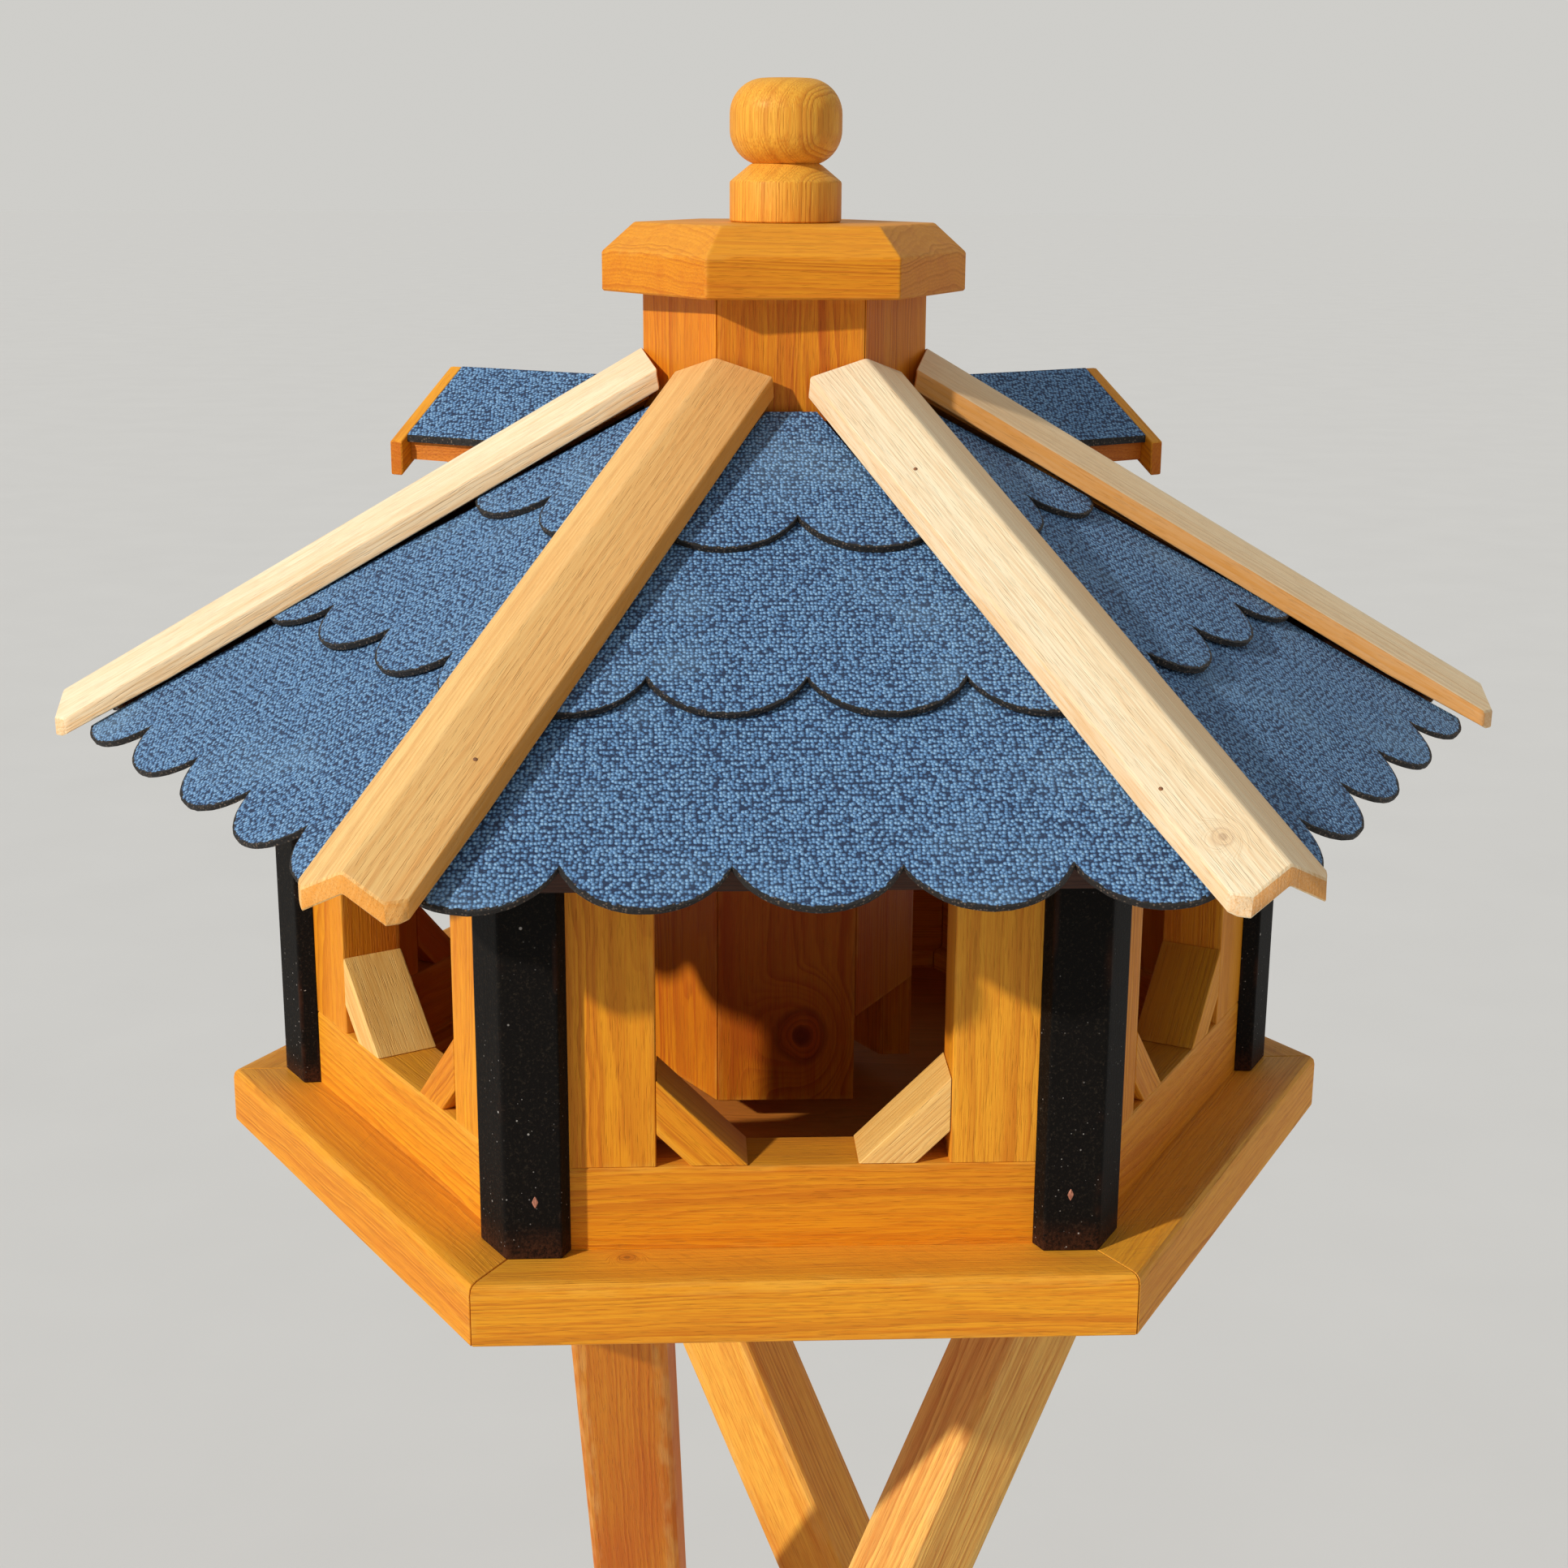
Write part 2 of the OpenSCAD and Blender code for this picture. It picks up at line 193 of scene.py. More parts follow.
class Sock:
    """A shader value that takes part in Python sums, adding a Math node for each operator."""

    __add__ = math_operator("ADD")
    __radd__ = math_operator("ADD", swapped=True)
    __sub__ = math_operator("SUBTRACT")
    __rsub__ = math_operator("SUBTRACT", swapped=True)
    __mul__ = math_operator("MULTIPLY")
    __rmul__ = math_operator("MULTIPLY", swapped=True)
    __truediv__ = math_operator("DIVIDE")
    __pow__ = math_operator("POWER")

    def __init__(self, shader: "Shader", socket: bpy.types.NodeSocket) -> None:
        """Wraps one output socket of a shader."""
        self.shader = shader
        self.socket = socket

    def fract(self) -> "Sock":
        """Part after the decimal point."""
        return self.shader.math("FRACT", self, 0.0)

    def also(self, out: str) -> "Sock":
        """Another output of the same node."""
        return Sock(self.shader, self.socket.node.outputs[out])

    def clamp(self) -> "Sock":
        """Value held between zero and one."""
        return self.rise(0.0, 1.0, "LINEAR")

    def rise(self, low: float, high: float, kind: str = "SMOOTHSTEP") -> "Sock":
        """Zero below low, one above high, and a smooth rise between them.

        Args:
            low: Value that gives zero.
            high: Value that gives one.
            kind: Interpolation of the Map Range node.

        Returns:
            The mapped value.
        """
        return self.shader.node(
            "ShaderNodeMapRange",
            {"interpolation_type": kind, "clamp": True},
            {0: self, 1: low, 2: high, 3: 0.0, 4: 1.0},
        )


class Shader:
    """One material's node tree, with short calls for the nodes that the finishes use."""

    def __init__(self, name: str) -> None:
        """Makes an empty node material with a Principled surface."""
        self.material = bpy.data.materials.new(name)
        self.material.use_nodes = True
        self.tree = self.material.node_tree
        self.surface = self.tree.nodes["Principled BSDF"]

    def put(self, socket: bpy.types.NodeSocket, value: Any) -> None:
        """Links a wrapped socket, or sets a plain value on the socket itself."""
        if isinstance(value, Sock):
            self.tree.links.new(value.socket, socket)
        else:
            socket.default_value = value

    def node(
        self, kind: str, settings: dict[str, Any], sockets: dict[Any, Any], out: Any = 0
    ) -> Sock:
        """Adds any node.

        Args:
            kind: Blender's name for the node type.
            settings: Properties of the node, set first.
            sockets: Values or links of its inputs, by name or number.
            out: Name or number of the output to give back.

        Returns:
            The wrapped output.
        """
        made = self.tree.nodes.new(kind)
        for key, value in settings.items():
            setattr(made, key, value)
        for key, value in sockets.items():
            self.put(made.inputs[key], value)
        return Sock(self, made.outputs[out])

    def math(self, operation: str, a: Any, b: Any) -> Sock:
        """Adds a Math node for one operation on two values."""
        return self.node("ShaderNodeMath", {"operation": operation}, {0: a, 1: b})

    def blend(self, share: Any, a: Any, b: Any, mode: str = "MIX") -> Sock:
        """Mixes two colours.

        Args:
            share: How much of the second colour, from zero to one.
            a: First colour.
            b: Second colour.
            mode: Blend type of the Mix node.

        Returns:
            The mixed colour.
        """
        settings = {"data_type": "RGBA", "blend_type": mode, "clamp_factor": True}
        return self.node("ShaderNodeMix", settings, {0: share, 6: a, 7: b}, 2)

    def stretch(self, vector: Sock, scale: Sequence[float]) -> Sock:
        """Multiplies a vector by three numbers."""
        return self.node(
            "ShaderNodeVectorMath", {"operation": "MULTIPLY"}, {0: vector, 1: tuple(scale)}
        )

    def in_mm(self, vector: Sock) -> Sock:
        """A vector in millimetres, from one in metres."""
        return self.stretch(vector, (1 / MM, 1 / MM, 1 / MM))

    def split(self, vector: Sock) -> tuple[Sock, Sock, Sock]:
        """The three components of a vector."""
        made = self.tree.nodes.new("ShaderNodeSeparateXYZ")
        self.put(made.inputs[0], vector)
        return tuple(Sock(self, made.outputs[i]) for i in range(3))

    def noise(self, vector: Sock, scale: float, detail: float = 2.0, rough: float = 0.5) -> Sock:
        """Noise from zero to one over a vector in millimetres."""
        sockets = {"Vector": vector, "Scale": scale, "Detail": detail, "Roughness": rough}
        return self.node("ShaderNodeTexNoise", {"noise_dimensions": "3D"}, sockets, "Fac")

    def fibres(
        self, vector: Sock, along: float, across: float, detail: float = 2.0, rough: float = 0.5
    ) -> Sock:
        """Noise drawn out along the grain, from its scales along the first axis and across it."""
        return self.noise(self.stretch(vector, (along, across, across)), 1.0, detail, rough)

    def line_noise(self, value: Sock) -> Sock:
        """Noise from zero to one along one value."""
        settings = {"noise_dimensions": "1D"}
        return self.node("ShaderNodeTexNoise", settings, {"W": value, "Scale": 1.0, "Detail": 0.0}, "Fac")

    def cells(self, vector: Sock, scale: float, spread: float = 1.0) -> Sock:
        """Distance from the nearest core of a cell pattern over a vector in millimetres."""
        sockets = {"Vector": vector, "Scale": scale, "Randomness": spread}
        return self.node("ShaderNodeTexVoronoi", {"feature": "F1"}, sockets, "Distance")

    def attribute(self, name: str, out: str = "Fac") -> Sock:
        """A mesh attribute of the piece."""
        return self.node("ShaderNodeAttribute", {"attribute_name": name}, {}, out)

    def solid(self, turn: float = 0.0, move: Sequence[float] = (0.0, 0.0, 0.0)) -> Sock:
        """Object coordinates in millimetres, turned about the upright axis.

        Args:
            turn: Angle of the turn in radians.
            move: Shift in metres, put in before the scale.

        Returns:
            The wrapped vector.
        """
        place = self.node("ShaderNodeTexCoord", {}, {}, "Object")
        sockets = {"Vector": place, "Location": tuple(move), "Rotation": (0.0, 0.0, turn)}
        turned = self.node("ShaderNodeMapping", {}, sockets)
        return self.in_mm(turned)

    def facing_up(self) -> Sock:
        """How far the face looks up, from minus one to one."""
        return self.split(self.node("ShaderNodeNewGeometry", {}, {}, "True Normal"))[2]

    def finish(self, base: Any, rough: Any, height: Sock, depth_mm: float, coat: float = 0.0) -> None:
        """Feeds the surface.

        Args:
            base: Base colour.
            rough: Roughness.
            height: Relief from zero to one.
            depth_mm: Depth of the relief in millimetres.
            coat: Weight of a clear coat, the same all over.
        """
        bump = self.node(
            "ShaderNodeBump", {}, {"Strength": 1.0, "Distance": depth_mm * MM, "Height": height}
        )
        self.put(self.surface.inputs["Base Color"], base)
        self.put(self.surface.inputs["Roughness"], rough)
        self.put(self.surface.inputs["Normal"], bump)
        self.surface.inputs["Coat Weight"].default_value = coat
        self.surface.inputs["Coat Roughness"].default_value = 0.3


@dataclass(frozen=True)
class Finish:
    """A procedural material that pieces are dressed in."""

    name: str

    def paint(self, sh: Shader) -> None:
        """Adds the finish's nodes to an empty shader."""
        raise NotImplementedError

    def build(self) -> bpy.types.Material:
        """The finished node material."""
        shader = Shader(self.name)
        self.paint(shader)
        return shader.material


@dataclass(frozen=True)
class Timber(Finish):
    """Sawn softwood under a clear or stained finish: growth rings, fibres, pores and worn arrises."""

    early: Colour
    late: Colour
    deep: Colour
    worn: Colour
    ends: Colour
    ring_mm: float = 2.8
    contrast: float = 0.6
    roughness: float = 0.46
    coat: float = 0.03
    pore: float = 0.12
    shine: float = 0.25
    bleach: float = 0.22
    knot_force: float = 1.0
    sawn: float = 0.0
    knotty: bool = False
    grain: GrainFrom = GrainFrom.BOARD
    turn: float = 0.0

    def values(self, sh: Shader) -> tuple[Sock, Any, Sock, Any]:
        """What the finish reads from the piece.

        Args:
            sh: The shader.

        Returns:
            Place in the timber in millimetres, nearness of an arris, tone, and cut ends.
        """
        if self.grain is GrainFrom.BOARD:
            place = sh.in_mm(sh.attribute("grain", "Vector"))
            return place, sh.attribute("arris"), sh.attribute("tone"), sh.attribute("end")
        place = sh.solid(self.turn, (0.3, 0.11, -0.17))
        return place, 0.0, sh.noise(place, 0.006) - 0.5, 0.0

    def knot(self, sh: Shader, ripple: Sock) -> tuple[Sock, Sock]:
        """Distance from the knot in knot radii, and how far the grain bends round it.

        Args:
            sh: The shader.
            ripple: Small waves of the grain.

        Returns:
            The distance, and one near the knot falling to zero away from it.
        """
        spot = sh.in_mm(sh.attribute("knot", "Vector"))
        along, across, up = sh.split(spot)
        away = (along * along * 0.8 + across * across + up * up * 0.05) ** 0.5 + ripple * 0.3
        return away, 1 - away.rise(0.7, 2.9)

    def saw_marks(self, sh: Shader, along: Sock, across: Sock, patches: Sock) -> Sock:
        """Slanting saw marks on the faces that look up.

        Args:
            sh: The shader.
            along: Place along the grain.
            across: Place across it.
            patches: Noise that says where the marks were left.

        Returns:
            One in a mark and zero elsewhere.
        """
        slant = sh.node("ShaderNodeCombineXYZ", {}, {0: along + across, 1: (along - across) * 0.05})
        marks = sh.noise(slant, 0.55).rise(0.54, 0.72) * patches.rise(0.36, 0.6)
        return marks * sh.facing_up().rise(0.6, 0.9)

    def knot_colour(self, sh: Shader, colour: Sock, away: Sock, near: Sock, ripple: Sock) -> Sock:
        """Darkens the knot: bent grain round it, rings and a rim, and a dark heart.

        Args:
            sh: The shader.
            colour: Colour of the plain timber.
            away: Distance from the knot in knot radii.
            near: One near the knot and zero away from it.
            ripple: Small waves of the grain.

        Returns:
            The colour with the knot in it.
        """
        rings = ((away + ripple * 0.25) * 4.5).fract().rise(0.2, 0.95)
        body = 1 - away.rise(0.9, 1.05)
        rim = away.rise(0.8, 0.95) * (1 - away.rise(1.0, 1.25))
        heart = 1 - away.rise(0.28, 0.48)
        colour = sh.blend((near * 0.35 + body * 0.25) * self.knot_force, colour, self.late)
        ringed = (body * rings * 0.3 + rim * 0.4) * self.knot_force
        colour = sh.blend(ringed.clamp(), colour, self.deep)
        return sh.blend(heart * 0.8 * self.knot_force, colour, self.deep)

    def paint(self, sh: Shader) -> None:
        """Paints the timber.

        The ring number is the distance from the pith, which the board's grain value gives, with a
        slow wander and an uneven width added; its fractional part rises slowly and falls sharply,
        as a growth ring does. Fibres and pores are noises drawn out along the grain.

        Args:
            sh: The shader.
        """
        place, arris, tone, end = self.values(sh)
        along, across, up = sh.split(place)
        wander = sh.fibres(place, 0.0035, 0.02) - 0.5
        ripple = sh.fibres(place, 0.022, 0.09) - 0.5
        radius = (across * across + up * up) ** 0.5 + wander * 15.0 + ripple * 2.4
        if self.knotty:
            away, near = self.knot(sh, ripple)
            radius = radius + near * 12.0
        count = radius / self.ring_mm
        ring = (count + sh.line_noise(count * 0.45) * 1.8).fract()
        force = sh.line_noise(count * 0.31 + 40.0).rise(0.35, 0.68)
        late = ring.rise(0.2, 0.9) * (1 - ring.rise(0.9, 1.0)) * (0.35 + force * 0.65)
        fibre = sh.fibres(place, 0.03, 1.2, 3.0, 0.7)
        streak = sh.fibres(place, 0.004, 0.14)
        pores = sh.fibres(place, 0.1, 2.0, 1.0).rise(0.57, 0.74)
        blotch = sh.fibres(place, 0.007, 0.02)
        colour = sh.blend((blotch.rise(0.4, 0.8) * 0.28 + tone * 0.9).clamp(), self.early, self.late)
        colour = sh.blend((tone * -0.7).clamp(), colour, self.worn)
        colour = sh.blend(streak.rise(0.48, 0.8) * 0.4, colour, self.late)
        colour = sh.blend(fibre.rise(0.38, 0.72) * 0.5, colour, self.late)
        colour = sh.blend(late * self.contrast, colour, sh.blend(0.3, self.late, self.deep))
        colour = sh.blend(pores * (0.5 + late) * self.pore, colour, self.deep)
        if self.sawn:
            marks = self.saw_marks(sh, along, across, blotch)
            colour = sh.blend(marks * self.sawn, colour, self.deep)
        if self.knotty:
            colour = self.knot_colour(sh, colour, away, near, ripple)
        if self.bleach:
            colour = sh.blend(sh.facing_up().rise(0.35, 0.85) * self.bleach, colour, self.worn)
        rub = arris * sh.fibres(place, 0.05, 0.2).rise(0.35, 0.68)
        colour = sh.blend(rub * 0.2, colour, self.worn)
        colour = sh.blend(end * (0.5 + fibre * 0.4), colour, self.ends)
        rough = self.roughness + fibre * 0.18 + late * 0.06 + end * 0.12
        height = fibre * 0.5 + late * 0.3 - pores * 0.45 + streak * 0.2
        sh.put(sh.surface.inputs["Specular IOR Level"], self.shine)
        sh.finish(colour, rough, height, 0.3, self.coat)


@dataclass(frozen=True)
class BlackStain(Finish):
    """Black-brown stain on the corner posts, flecked with pale dust and worn brown at the foot."""

    black: Colour = srgb(11, 8, 6)
    grey: Colour = srgb(52, 44, 35)
    brown: Colour = srgb(76, 42, 24)
    fleck: Colour = srgb(205, 198, 190)

    def paint(self, sh: Shader) -> None:
        """Paints the stain.

        Flecks are the cores of two sparse cell patterns, and the brown rises from the foot, where
        the grain attribute's length starts at zero.

        Args:
            sh: The shader.
        """
        place = sh.in_mm(sh.attribute("grain", "Vector"))
        along, _, _ = sh.split(place)
        arris = sh.attribute("arris")
        grit = sh.noise(place, 0.7, 3.0, 0.8)
        fibre = sh.fibres(place, 0.05, 0.9)
        patch = sh.noise(place, 0.045, 2.0)
        low = 1 - along.rise(50.0, 130.0) * 0.8
        dust = self.flecks(sh, place, 0.42, 0.13, 0.42) * patch.rise(0.35, 0.62) * low
        spots = self.flecks(sh, place, 0.12, 0.07, 0.62)
        foot = (1 - (along + patch * 18.0).rise(8.0, 26.0)) * grit.rise(0.3, 0.62)
        colour = sh.blend(grit.rise(0.5, 0.76) * 0.8, self.black, self.grey)
        colour = sh.blend(fibre.rise(0.5, 0.8) * 0.3, colour, self.black)
        worn = (foot * 0.7 + arris * patch.rise(0.5, 0.75) * 0.4).clamp()
        colour = sh.blend(worn, colour, self.brown)
        colour = sh.blend((dust * 0.65 + spots * 0.85).clamp(), colour, self.fleck)
        rough = 0.55 + grit * 0.25
        sh.put(sh.surface.inputs["Specular IOR Level"], 0.1)
        sh.finish(colour, rough, grit * 0.7 + fibre * 0.3 + spots * 0.4, 0.3)

    def flecks(self, sh: Shader, place: Sock, scale: float, size: float, chance: float) -> Sock:
        """Cores of a cell pattern, drawn for a share of the cells.

        Args:
            sh: The shader.
            place: Place in millimetres.
            scale: Cells in a millimetre.
            size: Radius of a fleck in cell widths.
            chance: Draw above which a cell has a fleck.

        Returns:
            One on a fleck and zero elsewhere.
        """
        cell = sh.cells(place, scale)
        draw, other, _ = sh.split(cell.also("Color"))
        core = 1 - (cell + other * size * 0.8).rise(size * 0.8, size * 1.5)
        return core * draw.rise(chance, chance + 0.2)


@dataclass(frozen=True)
class GranuleFelt(Finish):
    """Mineral felt: packed slate-blue granules on top, black bitumen on the cut edges and below."""

    light: Colour = srgb(172, 212, 240)
    blue: Colour = srgb(90, 138, 188)
    navy: Colour = srgb(20, 36, 66)
    tar: Colour = srgb(22, 19, 17)
    ash: Colour = srgb(136, 118, 102)
    cells_per_mm: float = 0.6

    def paint(self, sh: Shader) -> None:
        """Paints the felt.

        Granules are the cells of a fine cell pattern: each is light at its crown, dark in the gap
        at its border, and draws its own shade. The face's true normal tells top from edge.

        Args:
            sh: The shader.
        """
        place = sh.solid()
        grain = sh.cells(place, self.cells_per_mm, 0.6)
        shade, other, _ = sh.split(grain.also("Color"))
        crown = 1 - grain.rise(0.1, 0.55)
        weather = sh.noise(place, 0.018, 2.0)
        colour = sh.blend(crown * (0.3 + shade * 0.5), self.blue, self.light)
        colour = sh.blend(grain.rise(0.4, 0.66) * 0.95, colour, self.navy)
        colour = sh.blend(other.rise(0.72, 0.9) * 0.2, colour, self.navy)
        colour = sh.blend(weather.rise(0.5, 0.8) * 0.12, colour, self.light)
        ragged = sh.attribute("arris") + (shade - 0.5) * 0.5
        top = sh.facing_up().rise(0.45, 0.66) * (1 - ragged.rise(0.2, 0.42))
        crumb = sh.cells(place, 0.85)
        draw, _, _ = sh.split(crumb.also("Color"))
        ashes = (1 - crumb.rise(0.2, 0.5)) * draw.rise(0.45, 0.75)
        edge = sh.blend(ashes * 0.5, self.tar, self.ash)
        colour = sh.blend(top, edge, colour)
        rough = 0.74 + shade * 0.16
        sh.finish(colour, rough, crown * (0.25 + top * 0.75), 0.45)


@dataclass(frozen=True)
class Iron(Finish):
    """Dull nail iron, rusted here and there."""

    iron: Colour = srgb(122, 86, 60)
    rust: Colour = srgb(164, 108, 66)

    def paint(self, sh: Shader) -> None:
        """Paints iron, with rust where a noise is high."""
        place = sh.solid()
        mottle = sh.noise(place, 1.4, 3.0)
        sh.finish(sh.blend(mottle.rise(0.4, 0.7), self.iron, self.rust), 0.45 + mottle * 0.3, mottle, 0.1)
        sh.put(sh.surface.inputs["Metallic"], 0.35)


@dataclass(frozen=True)
class Chip(Finish):
    """Raw wood where the stain has flaked off round a nail."""

    raw: Colour = srgb(196, 130, 104)
    dull: Colour = srgb(140, 84, 62)

    def paint(self, sh: Shader) -> None:
        """Paints raw wood with its fibres upright."""
        fibre = sh.noise(sh.stretch(sh.solid(), (2.2, 2.2, 0.4)), 1.0, 3.0)
        sh.finish(sh.blend(fibre.rise(0.35, 0.7), self.raw, self.dull), 0.6 + fibre * 0.2, fibre, 0.15)


@dataclass(frozen=True)
class Plaster(Finish):
    """Pale floor of the studio."""

    pale: Colour = srgb(228, 228, 226)
    shade: Colour = srgb(222, 222, 220)

    def paint(self, sh: Shader) -> None:
        """Paints a faint cloudiness."""
        cloud = sh.noise(sh.solid(), 0.004, 3.0)
        sh.finish(sh.blend(cloud, self.pale, self.shade), 0.85 + cloud * 0.05, cloud, 0.2)


HONEY = Timber(
    "honey_stained_pine",
    early=srgb(240, 160, 26),
    late=srgb(202, 100, 6),
    deep=srgb(124, 48, 4),
    worn=srgb(246, 190, 78),
    ends=srgb(188, 92, 14),
    ring_mm=2.0,
    contrast=0.5,
)
HONEY_SAWN = replace(HONEY, name="honey_stained_pine_saw_marked", sawn=0.2)
LEDGE_FRONT = replace(HONEY_SAWN, name="honey_stained_pine_ledge_front", knotty=True)
# redder late and deep colours that paint the shade on the silo under the roof
SILO_SHADE_WOOD = replace(HONEY, name="silo_stained_pine_painted_shade", late=srgb(184, 66, 8), deep=srgb(104, 26, 4))
SILO_SHADE_KNOT = replace(SILO_SHADE_WOOD, name="silo_pine_painted_shade_with_knot", knotty=True)
# raw pine for a few braces, made paler still as painted light where the sun fell on them
RAW_LIT_WOOD = replace(HONEY, name="raw_brace_pine_painted_light", early=srgb(252, 208, 130), late=srgb(226, 152, 62))
LEG_WOOD = replace(
    HONEY,
    name="leg_stained_pine",
    early=srgb(242, 172, 40),
    late=srgb(196, 88, 4),
    worn=srgb(251, 210, 128),
    ring_mm=3.0,
)
FLOOR_WOOD = replace(
    HONEY,
    name="floor_stained_pine",
    early=srgb(196, 92, 30),
    late=srgb(158, 58, 14),
    grain=GrainFrom.SOLID,
    turn=math.radians(4),
)
PINE = Timber(
    "hip_cap_pine",
    early=srgb(249, 231, 192),
    late=srgb(228, 170, 94),
    deep=srgb(150, 92, 46),
    worn=srgb(252, 241, 212),
    ends=srgb(226, 146, 50),
    ring_mm=2.6,
    contrast=0.34,
    roughness=0.52,
    coat=0.02,
    pore=0.05,
)
TAN_PINE = replace(
    PINE,
    name="hip_cap_tan_pine",
    early=srgb(246, 202, 128),
    late=srgb(214, 134, 42),
    worn=srgb(248, 214, 152),
    ring_mm=3.4,
    contrast=0.5,
)
PINE_KNOT = replace(PINE, name="hip_cap_pine_with_knot", knotty=True, knot_force=0.55)
# very dark pine for the roof panels and head rails: painted shade under the roof and at the eaves
DARK = Timber(
    "carcass_pine_painted_shade",
    early=srgb(58, 27, 13),
    late=srgb(42, 18, 8),
    deep=srgb(26, 10, 4),
    worn=srgb(80, 44, 24),
    ends=srgb(44, 20, 9),
    ring_mm=3.4,
    grain=GrainFrom.SOLID,
    turn=math.radians(9),
)
DORMER_WOOD = replace(
    FLOOR_WOOD, name="dormer_stained_pine", early=srgb(214, 124, 34), late=srgb(176, 80, 14)
)
BATTEN_WOOD = replace(
    FLOOR_WOOD, name="batten_pine", early=srgb(232, 150, 52), late=srgb(204, 116, 32)
)
BLACK = BlackStain("black_stained_post")
FELT = GranuleFelt("slate_blue_granule_felt")
IRON = Iron("nail_iron")
CHIP = Chip("flaked_stain")
PLASTER = Plaster("studio_floor")


@dataclass
class Surface:
    """Vertices in millimetres, faces, and the values that the finishes read at each vertex."""

    points: Array
    quads: Array
    caps: list[list[int]] = field(default_factory=list)
    grain: Array | None = None
    arris: Array | None = None
    tone: Any = 0.0
    knot: Array | None = None
    finish: int = 0
    ends: Array | None = None

    def filled(self) -> "Surface":
        """The same surface with plain values where one was left out: zeros, and a knot far away."""
        count = len(self.points)
        self.grain = np.zeros((count, 3)) if self.grain is None else self.grain
        self.arris = np.zeros(count) if self.arris is None else self.arris
        self.knot = np.full((count, 3), FAR_KNOT) if self.knot is None else self.knot
        self.ends = np.zeros(len(self.quads) + len(self.caps)) if self.ends is None else self.ends
        return self

    def turned(self, angle: float) -> "Surface":
        """The surface turned about the upright axis."""
        self.points = turn_about_z(self.points, angle)
        return self


def turn_about_z(points: Array, angle: float) -> Array:
    """Points turned about the upright axis: x' = x cos - y sin, y' = x sin + y cos."""
    c, s = math.cos(angle), math.sin(angle)
    return points @ np.array([[c, s, 0.0], [-s, c, 0.0], [0.0, 0.0, 1.0]])


def joined(surfaces: Sequence[Surface]) -> tuple[Array, list[list[int]], dict[str, Array], Array]:
    """Joins surfaces into one set of arrays.

    Args:
        surfaces: The surfaces of one piece.

    Returns:
        Points, faces, values at the vertices or faces by name, and the finish number of each face.
    """
    parts = [s.filled() for s in surfaces]
    counts = np.array([len(s.points) for s in parts])
    starts = np.concatenate([[0], np.cumsum(counts)[:-1]])
    faces: list[list[int]] = []
    finish: list[int] = []
    for part, start in zip(parts, starts):
        caps = [[int(i + start) for i in cap] for cap in part.caps]
        faces.extend((part.quads + start).tolist() + caps)
        finish.extend([part.finish] * (len(part.quads) + len(caps)))
    values = {
        "grain": np.concatenate([s.grain for s in parts]) * MM,
        "arris": np.concatenate([s.arris for s in parts]),
        "tone": np.concatenate([np.broadcast_to(s.tone, n) for s, n in zip(parts, counts)]),
        "knot": np.concatenate([s.knot for s in parts]) * MM,
        "end": np.concatenate([s.ends for s in parts]),
    }
    return np.concatenate([s.points for s in parts]), faces, values, np.array(finish)


def ring_quads(rows: int, columns: int) -> Array:
    """Quads of a grid whose columns close on themselves.

    Args:
        rows: Number of rings.
        columns: Points in each ring.

    Returns:
        Vertex numbers of the quads, facing outwards for rings that turn left about the row axis.
    """
    j, i = np.meshgrid(np.arange(rows - 1), np.arange(columns), indexing="ij")
    nxt = (i + 1) % columns
    quads = np.stack([j * columns + i, j * columns + nxt, (j + 1) * columns + nxt, (j + 1) * columns + i], -1)
    return quads.reshape(-1, 4)


def stacked(x: Array, y: Array, z: Array) -> tuple[Array, Array, list[list[int]]]:
    """Rings stacked up an axis and closed at both ends.

    Args:
        x: Place across, with a row for each ring.
        y: Place in depth, likewise.
        z: Height, likewise or with one value for each ring.

    Returns:
        The points, the quads between the rings, and the first and last ring as faces.
    """
    rows, columns = x.shape
    points = np.stack([x, y, np.broadcast_to(z, x.shape)], -1).reshape(-1, 3)
    ring = np.arange(columns)
    return points, ring_quads(rows, columns), [ring[::-1].tolist(), (ring + (rows - 1) * columns).tolist()]


def sheet_quads(rows: int, columns: int, start: int = 0) -> Array:
    """Quads of an open grid.

    Args:
        rows: Number of rows.
        columns: Points in each row.
        start: Number of the first vertex.

    Returns:
        Vertex numbers of the quads.
    """
    j, i = np.meshgrid(np.arange(rows - 1), np.arange(columns - 1), indexing="ij")
    a = start + j * columns + i
    return np.stack([a, a + 1, a + columns + 1, a + columns], -1).reshape(-1, 4)


